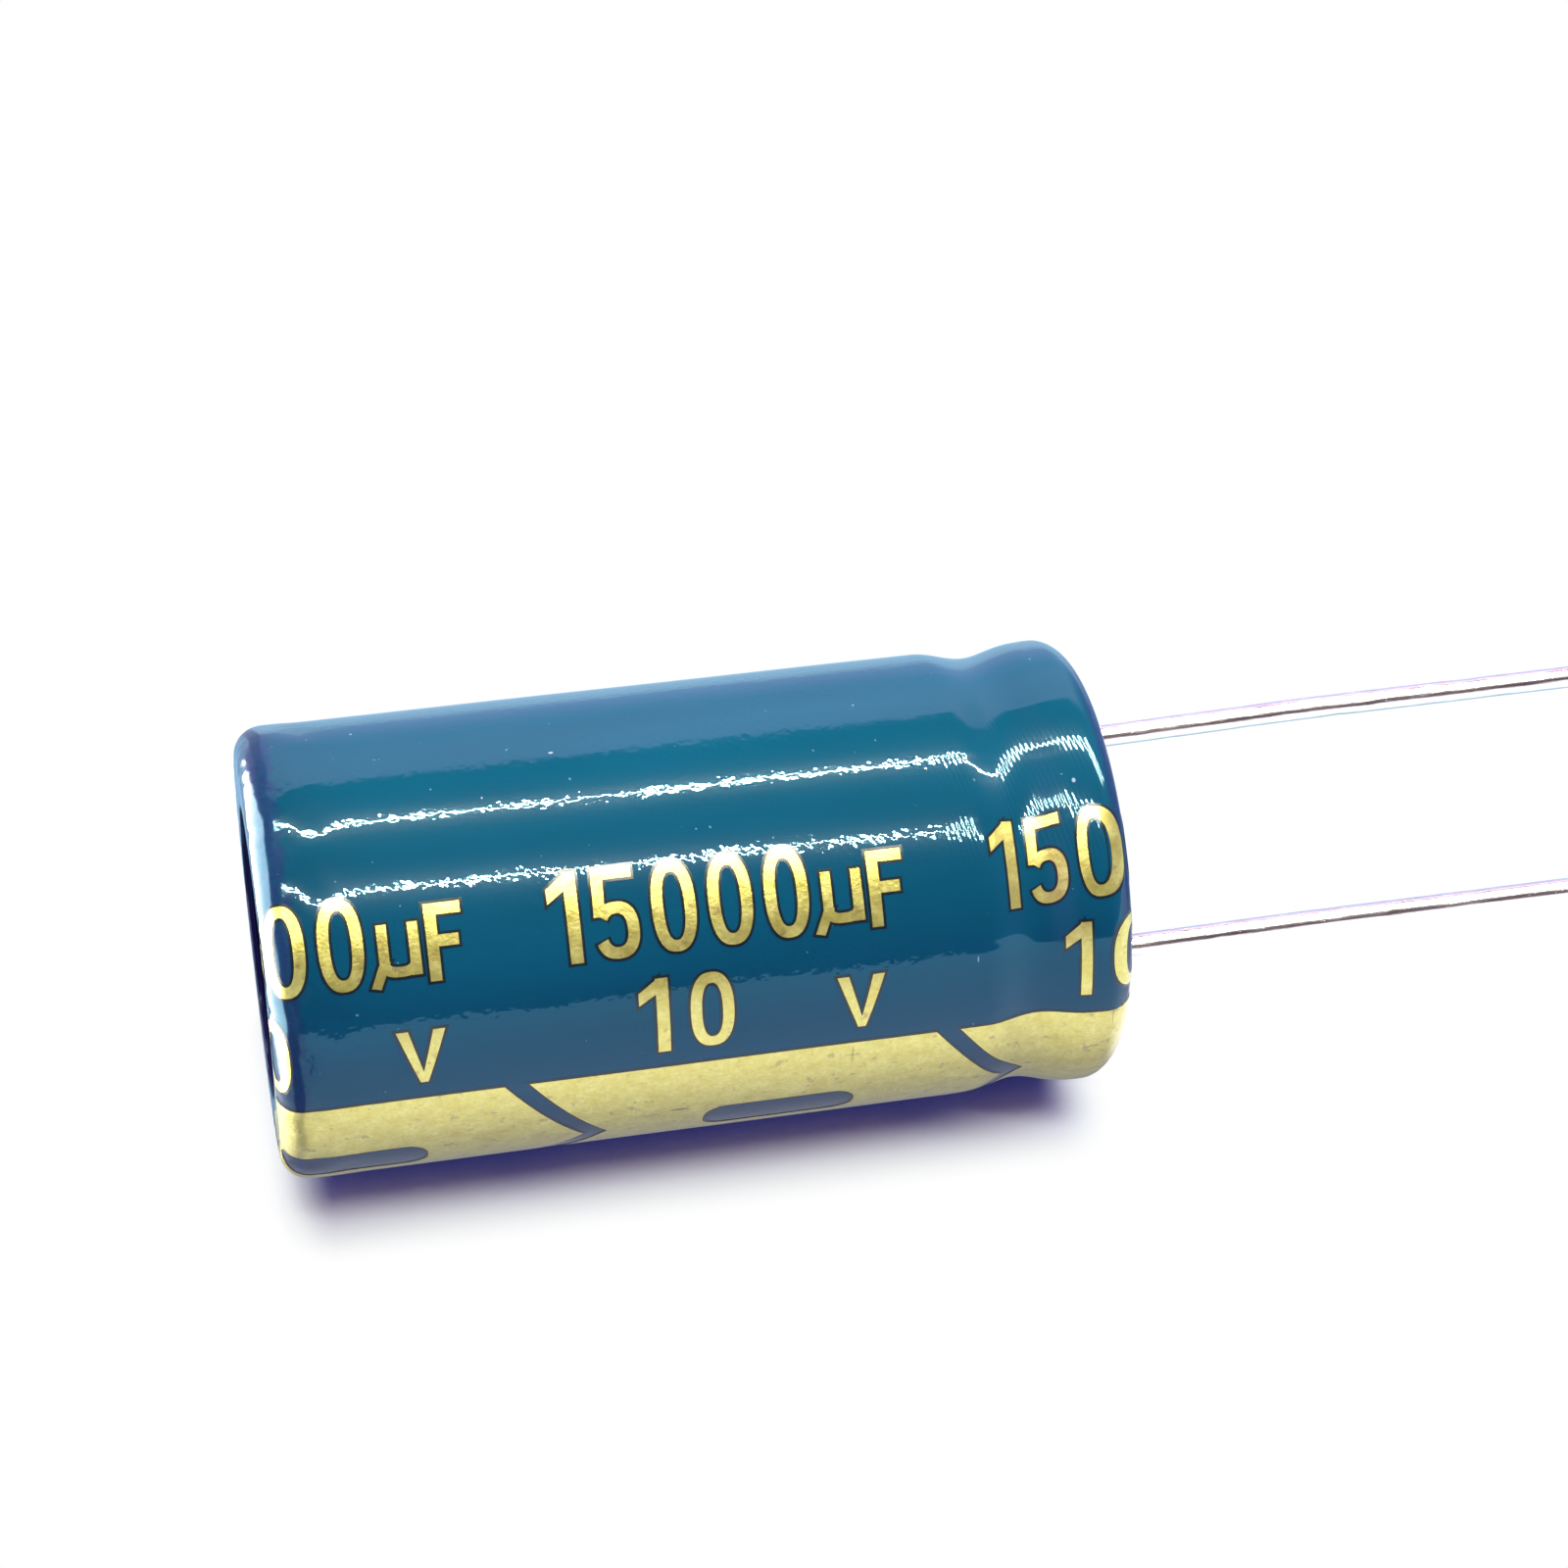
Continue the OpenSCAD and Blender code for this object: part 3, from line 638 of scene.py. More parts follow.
# a little rougher where the hand or the hot air touched it, and on the corner, where the film was stretched
touched = add(tree, "TexNoise", (in_mm(tree, (1, 1, 0.5)), 0.4, 3, 0.55))
touched = add(tree, "MapRange", (touched, 0.42, 0.66, 0.025, 0.065))
stretched = add(tree, "MapRange", (length_mm, 1.6, 0.6, 0.0, 0.14))
give(tree, shader, {"IOR": 1.45, "Specular Tint": (0.45, 0.92, 1.0, 1), "Specular IOR Level": dull,
                    "Roughness": add(tree, "Math", (touched, stretched), operation="ADD"),
                    "Coat Weight": 0.08, "Coat Roughness": 0.22, "Coat IOR": 1.45})
print("film gloss:", len(tree.nodes), "nodes so far")

# %% [markdown]
# ## The film's fine relief
# Shrinking leaves an orange peel. It is far too fine for the mesh, so it is a bump of the finish: a slow one
# over the whole, and a fine one that makes the lines of the tubes ragged. Fine rings run round the body over
# the groove and the ridge, where the film was pulled in, on three parts of its round. They are strongest
# where the curve says so.

# %% Shrunk teal film: relief
patchy = add(tree, "TexNoise", (in_mm(tree, (1, 1, 0.4)), 0.45, 2, 0.55))
patchy = add(tree, "MapRange", (patchy, 0.35, 0.6, 0.6, 1.0))
up_to_groove = add(tree, "MapRange", (length_mm, 24.2, 25.5, 1.0, 0.15))
patchy = add(tree, "Math", (patchy, up_to_groove), operation="MULTIPLY")
fine = add(tree, "Math", (add(tree, "TexNoise", (where, 4.2, 1, 0.35)), patchy), operation="MULTIPLY")
coarse = add(tree, "TexNoise", (in_mm(tree, (1, 1, 0.3)), 0.8, 2, 0.55))
peel = add(tree, "Bump", {"Height": coarse, "Distance": 0.008 * MM})
peel = add(tree, "Bump", {"Height": fine, "Distance": 0.0105 * MM, "Normal": peel})
# rings: a sine of the length along the film, shifted by a noise and by the way round, so they wander
RING_APART = 0.18
wander = add(tree, "Math", (add(tree, "TexNoise", (where, 1.0, 2, 0.55)), 3.0), operation="MULTIPLY")
slant = add(tree, "Math", (round_mm, 7.0), operation="MULTIPLY")
wander = add(tree, "Math", (wander, slant), operation="ADD")
turns = add(tree, "Math", (length_mm, 2 * math.pi / RING_APART), operation="MULTIPLY")
rings = add(tree, "Math", (add(tree, "Math", (turns, wander), operation="ADD"),), operation="SINE")
thirds = add(tree, "Math", (round_mm, 2.8), operation="SUBTRACT")
thirds = add(tree, "Math", (thirds, 3 / BODY_R), operation="MULTIPLY")
thirds = add(tree, "MapRange", (add(tree, "Math", (thirds,), operation="COSINE"), 0.3, 0.7))
rings = add(tree, "Math", (rings, thirds), operation="MULTIPLY")
# how strong the rings are from 23.5 to 30.5 mm along the film: on both slopes of the groove and over the rim
near_groove = add(tree, "FloatCurve", {"Value": add(tree, "MapRange", (length_mm, 23.5, 30.5))})
curve = near_groove.mapping.curves[0]
curve.points[0].location, curve.points[1].location = (0, 0), (1, 0.2)
for x, y in ((0.05, 0.5), (0.14, 0.7), (0.20, 0.1), (0.31, 0.1), (0.37, 1.0), (0.82, 1.0), (0.90, 0.4)):
    curve.points.new(x, y)
near_groove.mapping.update()
pulled = add(tree, "Math", (rings, near_groove), operation="MULTIPLY")
give(tree, shader, {"Normal": add(tree, "Bump", {"Height": pulled, "Distance": 0.0022 * MM, "Normal": peel})})
place(sleeve, film, "sleeve_film", "sleeve")

# %% [markdown]
# ## The print
# The print is a pale gold ink with a thin dark line round each shape. It is made as its own thin pieces that
# lie on the skin, which gives them crisp edges at any distance. A shape is a patch between four corners, or a
# ring between two ovals. Each is drawn twice: once a little larger in a dark finish, and once in gold a hair
# above it.

# %% Shapes of the print
STROKE = 0.39
KEY = 0.10
PITCH = 15.07
VALUE_AT, VOLT_AT = math.radians(-0.3), math.radians(-27.7)
VALUE_H, VOLT_H = 3.1, 2.85
VALUE_FROM, VOLT_FROM = 9.8, 12.55
CELL = 0.13


def patch(a, b, c, d, grow=0.0):
    """Grid between four corners (x along the body, y round it, mm), evenly spaced between them. With grow,
    each corner moves out by that much along both sides that meet in it."""
    corners = np.array([a, b, c, d], float)
    ahead = np.roll(corners, -1, 0) - corners
    ahead /= np.linalg.norm(ahead, axis=1, keepdims=True)
    back = np.roll(ahead, 1, 0)
    sine = np.abs(ahead[:, 0] * back[:, 1] - ahead[:, 1] * back[:, 0])[:, None]
    a, b, c, d = corners + grow * (back - ahead) / sine
    n = max(2, int(np.linalg.norm(b - a) / CELL) + 1)
    m = max(2, int(np.linalg.norm(d - a) / CELL) + 1)
    u, v = np.linspace(0, 1, n)[None, :, None], np.linspace(0, 1, m)[:, None, None]
    return (1 - v) * ((1 - u) * a + u * b) + v * ((1 - u) * d + u * c)


def oval_ring(centre, w, h, stroke, grow=0.0, start=0.0, sweep=360.0, power=0.82):
    """Grid between an outer and an inner superellipse: x = w/2 cos^p, y = h/2 sin^p. From start through sweep
    degrees, so that it can be the open bowl of a five."""
    closed = sweep >= 360
    more = 0.0 if closed else grow / (w / 2) * 40
    t = np.radians(np.linspace(start - more, start + sweep + more, 97))
    c, s = np.cos(t), np.sin(t)
    shape = np.stack([np.sign(c) * np.abs(c) ** power, np.sign(s) * np.abs(s) ** power], axis=-1)
    outer = shape * (w / 2 + grow, h / 2 + grow)
    inner = shape * (w / 2 - stroke - grow, h / 2 - stroke - grow)
    v = np.linspace(0, 1, 4)[:, None, None]
    return np.array(centre) + outer * (1 - v) + inner * v


print("a plain patch of 1 x 1 mm has", patch((0, 0), (1, 0), (1, 1), (0, 1)).shape[:2], "points")

# %% [markdown]
# ## Figures and letters
# A font would be quicker, but the real print is drawn with one even stroke and plain bars, and each stroke
# needs its darker outline. So each sign is a short list of patches and rings, which are made later at the
# size asked for.

# %% Figures and letters
def zero(x, h, w=1.5):
    """A whole oval ring."""
    return [lambda g: oval_ring((x + w / 2, h / 2), w, h, STROKE, g)]


def one(x, h):
    """An upright bar and a short flag that slants down to the left."""
    k = STROKE
    return [lambda g: patch((x + 1.4 * k, 0), (x + 2.5 * k, 0), (x + 2.5 * k, h), (x + 1.4 * k, h), g),
            lambda g: patch((x - 0.05, 0.67 * h), (x + 1.4 * k, 0.80 * h), (x + 1.6 * k, h),
                            (x - 0.05, 0.83 * h), g)]


def five(x, h, w=1.5):
    """A bar on top, a short upright under its left end, and an open bowl of 305 degrees."""
    bowl, k = 0.62 * h, STROKE
    return [lambda g: patch((x + 0.06, h - k), (x + 0.94 * w, h - k), (x + 0.94 * w, h), (x + 0.06, h), g),
            lambda g: patch((x, 0.47 * h), (x + k, 0.47 * h), (x + k + 0.06, h), (x + 0.06, h), g),
            lambda g: oval_ring((x + w / 2, bowl / 2), w, bowl, k, g, start=-158, sweep=305)]


def micro(x, base, h):
    """The sign for a millionth: a slanting tail, two uprights, and half an oval ring between their feet."""
    k, w, top = STROKE * 0.88, 1.38, base + h
    left, right_edge = x + 0.12, x + 0.12 + w
    return [lambda g: patch((x - 0.22, base - 0.16 * h), (x + 0.10, base - 0.20 * h),
                            (x + 0.50, base + 0.30 * h), (x + 0.14, base + 0.30 * h), g),
            lambda g: patch((left, base + 0.2 * h), (left + k, base + 0.2 * h), (left + k, top), (left, top),
                            g),
            lambda g: oval_ring((left + w / 2, base + 0.28 * h), w, 0.56 * h, k, g, start=-182, sweep=184,
                                power=0.8),
            lambda g: patch((right_edge - k, base + 0.02), (right_edge + 0.02, base + 0.02),
                            (right_edge, top), (right_edge - k, top), g)]


def letter_f(x, h, w=1.22):
    """An upright and two bars, the lower one shorter."""
    k, low_bar = STROKE, 0.44 * h
    return [lambda g: patch((x, 0), (x + k, 0), (x + k, h), (x, h), g),
            lambda g: patch((x, h - k), (x + w, h - k), (x + w, h), (x, h), g),
            lambda g: patch((x + 0.5 * k, low_bar), (x + 0.88 * w, low_bar),
                            (x + 0.88 * w, low_bar + k), (x + 0.5 * k, low_bar + k), g)]


def letter_v(x, h, w=1.66):
    """Two slanting bars that meet at the foot."""
    k, m = STROKE * 0.95, x + w / 2
    return [lambda g: patch((m - 0.35 * k, 0), (m + 0.3 * k, 0), (x + 1.1 * k, h), (x, h), g),
            lambda g: patch((m - 0.3 * k, 0), (m + 0.35 * k, 0), (x + w, h), (x + w - 1.1 * k, h), g)]


print("strokes in a five:", len(five(0, VALUE_H)))

# %% [markdown]
# ## Rows of the print
# The print repeats along the body, because the film was printed as an endless tube and then cut. So one loop
# sets the value and the voltage three times, the first and the last of them cut by the ends of the film.

# %% Rows of the print
def value_row(x):
    """Shapes of the value and its unit, with their left edge at x."""
    shapes = one(x, VALUE_H) + five(x + 1.45, VALUE_H)
    for k in range(3):
        shapes += zero(x + (1.78 + k) * 1.93, VALUE_H)
    return shapes + micro(x + 9.14, 0.28, 1.8) + letter_f(x + 10.89, 2.6)


def volt_row(x):
    """Shapes of the voltage and its unit, with their left edge at x."""
    return one(x, VOLT_H) + zero(x + 1.7, VOLT_H) + letter_v(x + 6.8, 2.04)


rows_of_print = []
for k in (-1, 0, 1):
    rows_of_print += [(shape, VALUE_AT, VALUE_H) for shape in value_row(VALUE_FROM + k * PITCH)]
    rows_of_print += [(shape, VOLT_AT, VOLT_H) for shape in volt_row(VOLT_FROM + k * PITCH)]
print(len(rows_of_print), "strokes in the rows")

# %% [markdown]
# ## The print on the skin
# The shapes are flat so far. A Shrinkwrap modifier could pull them onto the film, but it would press them
# into it in places. Here each point is handed to the same function that made the film, at a height of its
# own, so the print follows every dent and never touches it. Where strokes cross, each lies a hair higher than
# the one before.

# %% Lay the rows on the skin
def laid(grids, name):
    """One mesh of many open grids of (s, angle) points at a height over the skin. The flat map keeps s and
    the length round the body. The film was cut through the print, so shapes end where it ends."""
    first_s, last_s = LIP_S + 0.25, END_S - 0.2
    points, faces, flats, first = [], [], [], 0
    for s, angle, lift in grids:
        quads = grid_faces(*s.shape)
        inside = (s > first_s) & (s < last_s)
        quads = quads[inside.ravel()[quads].any(axis=1)]
        used, quads = np.unique(quads, return_inverse=True)
        quads = quads.reshape(-1, 4)
        s, angle = np.clip(s.ravel()[used], first_s, last_s), angle.ravel()[used]
        points.append(skin(s, angle, lift) + lean(s, angle)[:, None] * (0, 0, 1))
        faces.append(quads + first)
        flats.append(np.stack([s, angle * BODY_R], axis=-1)[quads.ravel()])
        first += len(s)
    return build_mesh(name, np.concatenate(points), [np.concatenate(faces)], np.concatenate(flats))


def row_grids(grow, lift):
    """The grids of all strokes, each stroke 0.0015 mm over the one before it in a cycle of four. Where the
    film shrank into the groove and over the rim it took the print along: s - 0.13 (s - 26.7), and up by 0.12
    mm."""
    made = []
    for number, (shape, at, height) in enumerate(rows_of_print):
        flat = shape(grow)
        s, y = flat[..., 0], flat[..., 1] - height / 2
        y = y + 0.12 * step(s, 26.5, 28.0)
        s = s - 0.13 * (s - 26.7) * step(s, 23.5, 25.0) * (1 - step(s, 28.8, 30.0))
        made.append((s, at + y / BODY_R, lift + 0.0015 * (number % 4)))
    return made


GOLD_LIFT, KEY_LIFT = 0.016, 0.006
rating_gold = laid(row_grids(0.0, GOLD_LIFT), "rating_gold")
rating_key = laid(row_grids(KEY, KEY_LIFT), "rating_key")
print("rating:", len(rating_gold.data.polygons), "gold faces and", len(rating_key.data.polygons), "dark ones")

# %% [markdown]
# ## The polarity stripe
# The stripe marks the negative side. It is one gold band with arrow shaped gaps that point to the leads, and
# a long rounded gap for each minus sign. A band with holes is built from half bands: each runs from the
# middle line, or from the edge of a minus sign, out to the edge of the stripe, and its ends slant where an
# arrow cuts it.

# %% Half bands of the stripe
STRIPE_AT = math.radians(-70.5)
STRIPE_HALF = 3.83
ARROW_W, ARROW_SLOPE = 0.85, 2.7 / 3.75
BAR_LEN, BAR_HALF, BAR_R = 5.4, 0.98, 0.84
TIP_AT, BAR_FROM = 1.6, 5.0
tips = [VALUE_FROM + TIP_AT + k * PITCH for k in (0, 1)]
bars = [VALUE_FROM + BAR_FROM + k * PITCH for k in (-1, 0, 1)]


def bar_edge(s, grow):
    """Half height of the minus gaps at s: 0 outside, and a rounded corner of radius BAR_R inside each end."""
    height = np.zeros_like(s)
    for start in bars:
        inside = np.minimum(s - start - grow, start + BAR_LEN - grow - s)
        corner = np.clip(BAR_R - inside, 0, BAR_R)
        height = np.where(inside > 0, BAR_HALF - grow - BAR_R + np.sqrt(BAR_R ** 2 - corner ** 2), height)
    return np.maximum(height, 0)


def half_bands(grow, lift):
    """Grids of the half bands. s0 is the place on the middle line; away from an arrow's end, the slant fades
    out in a straight line over the free length beside it. The upper and the lower half mirror each other."""
    spans = [(LIP_S + 0.3, tips[0] - ARROW_W + grow, 0, 1), (tips[0] - grow, tips[1] - ARROW_W + grow, 1, 1),
             (tips[1] - grow, END_S - 0.3, 1, 0)]
    made = []
    for start, end, slant_start, slant_end in spans:
        bend = BAR_R * (1 - np.cos(np.linspace(0, np.pi / 2, 13)))
        ends = [b + grow + bend for b in bars] + [b + BAR_LEN - grow - bend for b in bars]
        edges = [np.array([b + grow - 1e-4, b + BAR_LEN - grow + 1e-4]) for b in bars]
        s0 = np.concatenate([np.arange(start, end, 0.16), [end]] + ends + edges)
        s0 = np.unique(s0[(s0 >= start) & (s0 <= end)])
        fade = (slant_start * np.clip(1 - (s0 - start) / 3.3, 0, 1)
                + slant_end * np.clip(1 - (end - s0) / 5.0, 0, 1))
        v = np.linspace(0, 1, 30)[:, None]
        inner = bar_edge(s0, grow)[None, :]
        y = inner + v * (STRIPE_HALF + grow - inner)
        s = s0[None, :] - ARROW_SLOPE * y * fade[None, :]
        for side in (1, -1):
            order = slice(None) if side == 1 else slice(None, None, -1)
            made.append((s[order], (STRIPE_AT + side * y / BODY_R)[order], lift))
    return made


stripe_gold = laid(half_bands(0.0, GOLD_LIFT), "stripe_gold")
stripe_key = laid(half_bands(KEY, KEY_LIFT), "stripe_key")
print("stripe:", len(stripe_gold.data.polygons), "gold faces and", len(stripe_key.data.polygons), "dark ones")

# %% [markdown]
# ## Gold lacquer
# The gold is a hot stamped lacquer with metal dust in it. It could be a plain yellow paint, but it mirrors
# light like a metal, only softly, so it is pale under the tubes, brownish between them and pale again where
# it meets the table. Up close it is mottled, with browner patches where the dust is thin. A clear coat lies
# over it, and handling has left a streak and a faint cross.

# %% Stamped gold
gold, tree, shader = new_finish("stamped gold lacquer")
where = in_mm(tree)
cloud = add(tree, "MapRange", (add(tree, "TexNoise", (where, 1.6, 4, 0.65)), 0.32, 0.68))
grain = add(tree, "MapRange", (add(tree, "TexNoise", (where, 7.0, 2, 0.6)), 0.35, 0.65))
tone = add(tree, "Mix", (cloud, colour("#E2D35C"), colour("#F8F086")), data_type="RGBA")
grainy = add(tree, "Math", (grain, 0.32), operation="MULTIPLY")
tone = add(tree, "Mix", (grainy, tone, colour("#C9B26A")), data_type="RGBA")
# a brown streak and a faint cross, from handling
flat = add(tree, "UVMap", uv_map="millimetres").outputs["UV"]
for at, half, share in (((13.9, -8.71), (0.38, 0.06), 0.8), ((19.9, -6.62), (0.05, 0.45), 0.35),
                        ((19.9, -6.62), (0.3, 0.04), 0.35)):
    share = add(tree, "Math", (mark(tree, flat, at, half), share), operation="MULTIPLY")
    tone = add(tree, "Mix", (share, tone, colour("#5C4424")), data_type="RGBA")
thin = add(tree, "MapRange", (add(tree, "TexNoise", (where, 2.3, 3, 0.6)), 0.61, 0.70))
thin = add(tree, "Math", (thin, 0.6), operation="MULTIPLY")
give(tree, shader, {"Base Color": add(tree, "Mix", (thin, tone, colour("#AC9160")), data_type="RGBA"),
                    "Metallic": 0.6, "Roughness": add(tree, "MapRange", (cloud, 0, 1, 0.32, 0.42)),
                    "Normal": add(tree, "Bump", {"Height": grain, "Distance": 0.006 * MM, "Strength": 0.6}),
                    "Coat Weight": 0.6, "Coat Roughness": 0.12, "Coat IOR": 1.45})
for piece, node in ((rating_gold, "rating_print"), (stripe_gold, "polarity_print")):
    place(piece, gold, "print_foil", node)

# %% [markdown]
# ## Dark outline
# A dark finish lies under the gold, on the same shapes made a little larger. All that shows of it is a thin
# line round each shape, nearly black, with a little green in it.

# %% Dark outline
dark_outline_finish, tree, shader = new_finish("dark outline")
where = in_mm(tree)
mottled = add(tree, "TexNoise", (where, 3.0, 3, 0.55))
mottled = add(tree, "Mix", (mottled, colour("#16282C"), colour("#2C4444")), data_type="RGBA")
uneven = add(tree, "TexNoise", (where, 1.0, 3, 0.55))
give(tree, shader,
     {"Base Color": mottled, "Roughness": add(tree, "MapRange", (uneven, 0.3, 0.7, 0.16, 0.26))})
for piece in (rating_key, stripe_key):
    place(piece, dark_outline_finish, "print_foil")

# %% [markdown]
# ## A screen for the corner
# In the photograph something bright stands left of the closed end, and the rounded corner mirrors it as a
# white band. A lamp there would also blind the bare metal of the can's end in other views, so it is a screen
# that only the film and the print mirror.

# %% The corner's screen
corner_screen = mirror_screen("corner_screen", on_table(-13.1, 21.6, -12), on_table(10.9, -0.2, -12), 30, 14,
                              [sleeve, rating_gold, rating_key, stripe_gold, stripe_key])
print("screen of the corner, size in mm:", round(corner_screen.data.size / MM, 1), "x",
      round(corner_screen.data.size_y / MM, 1))

# %% [markdown]
# ## The can
# The can is drawn from aluminium sheet in several strokes, then filled, beaded and rolled in over the rubber.
# Only its scored end shows, and a bit of its rolled rim. It is one closed surface: a profile carried round
# the axis, where the closed end also gets the cross that lets it open before it bursts.

# %% Profiles carried round the axis
CAN_R, CAN_WALL, CAN_BASE = 7.84, 0.35, 0.45
CAN_TOP = 30 - WALL - 0.01
END_Z = WALL + 0.14
CURL_R = RIM_R - WALL - 0.01
BEAD_AT, BEAD_WIDE, BEAD_DEPTH = 26.1, 4.2, 0.8


def bead(z):
    """Drop of the bead at height z: a raised cosine, BEAD_WIDE wide and BEAD_DEPTH deep."""
    t = (z - BEAD_AT) / BEAD_WIDE
    return BEAD_DEPTH * np.where(np.abs(t) < 0.5, (1 + np.cos(2 * np.pi * t)) / 2, 0)


def arc(r, z, radius, start, end, count):
    """Points of an arc about (r, z): (r + radius cos t, z + radius sin t), t in degrees from the outward
    side."""
    t = np.radians(np.linspace(start, end, count))
    return np.stack([r + radius * np.cos(t), z + radius * np.sin(t)], axis=1)


def revolve(name, profile, columns, lift=None):
    """Carries a profile of (r, z) points round the axis: (-r sin t, -r cos t, z). The first and the last
    point lie on the axis and become one point each. lift(x, y, z) may add height."""
    profile = np.asarray(profile, float)
    angle = np.linspace(-np.pi, np.pi, columns, endpoint=False)
    r, z = profile[1:-1, 0][:, None], profile[1:-1, 1][:, None]
    ring = np.stack([-r * np.sin(angle), -r * np.cos(angle), z + 0 * angle], axis=-1)
    if lift is not None:
        ring[..., 2] += lift(ring[..., 0], ring[..., 1], z)
    points = np.concatenate([ring.reshape(-1, 3), [[0, 0, profile[0, 1]], [0, 0, profile[-1, 1]]]])
    if lift is not None:
        points[-2, 2] += lift(np.zeros(1), np.zeros(1), profile[:1, 1])[0]
        points[-1, 2] += lift(np.zeros(1), np.zeros(1), profile[-1:, 1])[0]
    rows = len(profile) - 2
    quads = grid_faces(rows, columns, close_columns=True)
    first, last = np.arange(columns), np.arange(columns) + (rows - 1) * columns
    caps = np.concatenate([fan_faces(rows * columns, first), fan_faces(rows * columns + 1, last)[:, ::-1]])
    return build_mesh(name, points, [quads, caps])


print("depth of the bead half way up its side:", round(float(bead(BEAD_AT + BEAD_WIDE / 4)), 2), "mm")

# %% [markdown]
# ## The can's own shape
# The outer line runs from the middle of the closed end up over the bead to the rolled rim, and the inner line
# back down inside, so the cup has its real wall. The cross in its end is pressed, not cut, so it is only
# added height.

# %% The can
def score(x, y, z):
    """The vent on the outside of the closed end: two grooves that cross, about 0.3 wide and 0.2 deep with
    round edges, pressed up into the metal, and a faint dome of 0.05 mm. Each is a product of smooth steps."""
    depth = np.zeros_like(x)
    for p, q in ((x + y, x - y), (x - y, x + y)):
        across, reach = np.abs(q) / math.sqrt(2), np.abs(p) / math.sqrt(2)
        ends = 1 - step(reach, 4.2, 4.55)
        depth = np.maximum(depth, (1 - step(across, 0.10, 0.22)) * ends)
    outside = z < END_Z + 0.01
    dome = 0.05 * (1 - step(np.hypot(x, y), 1.0, 5.6))
    return np.where(outside, 0.2 * depth + dome, 0)


groove_z = BEAD_AT + np.linspace(-BEAD_WIDE / 2, BEAD_WIDE / 2, 43)
outer = np.concatenate([
    [[0, END_Z]], np.stack([np.linspace(0.05, 6.85, 90), np.full(90, END_Z)], axis=1),
    arc(CAN_R - 0.95, END_Z + 0.95, 0.95, -85, 0, 12), [[CAN_R, 6], [CAN_R, 15], [CAN_R, 22]],
    np.stack([CAN_R - bead(groove_z), groove_z], axis=1),
    arc(CAN_R - CURL_R, CAN_TOP - CURL_R, CURL_R, 0, 180, 25)])
inner = np.concatenate([
    arc(CAN_R - CURL_R, CAN_TOP - CURL_R, CURL_R - CAN_WALL, 180, 0, 13),
    np.stack([CAN_R - CAN_WALL - bead(groove_z), groove_z], axis=1)[::-2],
    [[CAN_R - CAN_WALL, 15], [CAN_R - CAN_WALL, 3]],
    arc(CAN_R - CAN_WALL - 0.6, WALL + CAN_BASE + 0.6, 0.6, 0, -90, 7),
    [[3, WALL + CAN_BASE], [0, WALL + CAN_BASE]]])
can = revolve("drawn_can", np.concatenate([outer, inner]), 288, score)
print("can:", len(can.data.polygons), "faces")

# %% [markdown]
# ## Drawn aluminium
# Bare aluminium that was drawn and turned is a bright, slightly grey metal with fine rings about its axis. A
# ring pattern could be a picture on a UV map, but noise read at (distance from the axis, height) gives rings
# by itself.

# %% Drawn aluminium
drawn, tree, shader = new_finish("drawn aluminium")
where = in_mm(tree)
cylinder = add(tree, "SeparateXYZ", {0: where}).outputs
squares = [add(tree, "Math", (cylinder[k], cylinder[k]), operation="MULTIPLY") for k in ("X", "Y")]
from_axis = add(tree, "Math", (add(tree, "Math", squares, operation="ADD"),), operation="SQRT")
# turning and drawing leave rings about the axis
outward_and_up = add(tree, "CombineXYZ", {0: from_axis, 2: cylinder["Z"]})
rings = add(tree, "TexNoise", (outward_and_up, 9.0, 3, 0.7))
blotch = add(tree, "TexNoise", (where, 0.6, 4, 0.55))
stained = add(tree, "MapRange", (blotch, 0.3, 0.7))
stained = add(tree, "Mix", (stained, colour("#C9CBCD"), colour("#DEDFDF")), data_type="RGBA")
rough = add(tree, "MapRange", (add(tree, "Math", (rings, blotch), operation="ADD"), 0.7, 1.3, 0.24, 0.42))
give(tree, shader, {"Base Color": stained, "Metallic": 1.0, "Roughness": rough,
                    "Normal": add(tree, "Bump", {"Height": rings, "Distance": 0.006 * MM, "Strength": 0.7})})
place(can, drawn, "can_metal", "can")

# %% [markdown]
# ## The rubber seal
# The seal is moulded rubber. Its sides follow the inside of the can and its bead, and its top has a raised
# collar round each lead and a shallow step near the rim. It is a revolved profile whose top gets the two
# collars as height.

# %% The seal
SEAL_TOP = CAN_TOP - CURL_R - 0.02
SEAL_DEEP = 5
LEAD_X = 3.75
LEAD_R = 0.4


def seal_top(x, y, z):
    """Height added to the top face: each collar is 0.25 high out to about 0.9 mm, with a funnel 0.12 deep at
    the wire, and inside 5.5 mm the face between them is 0.10 lower. All are smooth steps of a distance."""
    height = np.zeros_like(x)
    for side in (-1, 1):
        d = np.hypot(x - side * LEAD_X, y)
        height = np.maximum(height, 0.25 * (1 - step(d, 0.82, 1.02)) - 0.12 * (1 - step(d, 0.40, 0.56)))
    r = np.hypot(x, y)
    height = height - 0.10 * (1 - step(r, 5.35, 5.7)) * (1 - step(height, 0.0, 0.05))
    return np.where(z > SEAL_TOP - 0.01, height, 0)


seal_r = CAN_R - CAN_WALL - 0.02
bottom = SEAL_TOP - SEAL_DEEP
side_z = np.linspace(bottom, SEAL_TOP - CURL_R / 2, 30)
seal_profile = np.concatenate([[[0, bottom], [3, bottom]], np.stack([seal_r - bead(side_z), side_z], axis=1),
                               [[CAN_R - CURL_R - 0.02, SEAL_TOP]],
                               np.stack([np.linspace(7.0, 0.06, 112), np.full(112, SEAL_TOP)], axis=1),
                               [[0, SEAL_TOP]]])
seal = revolve("rubber_seal_moulded", seal_profile, 320, seal_top)
print("seal:", len(seal.data.polygons), "faces")

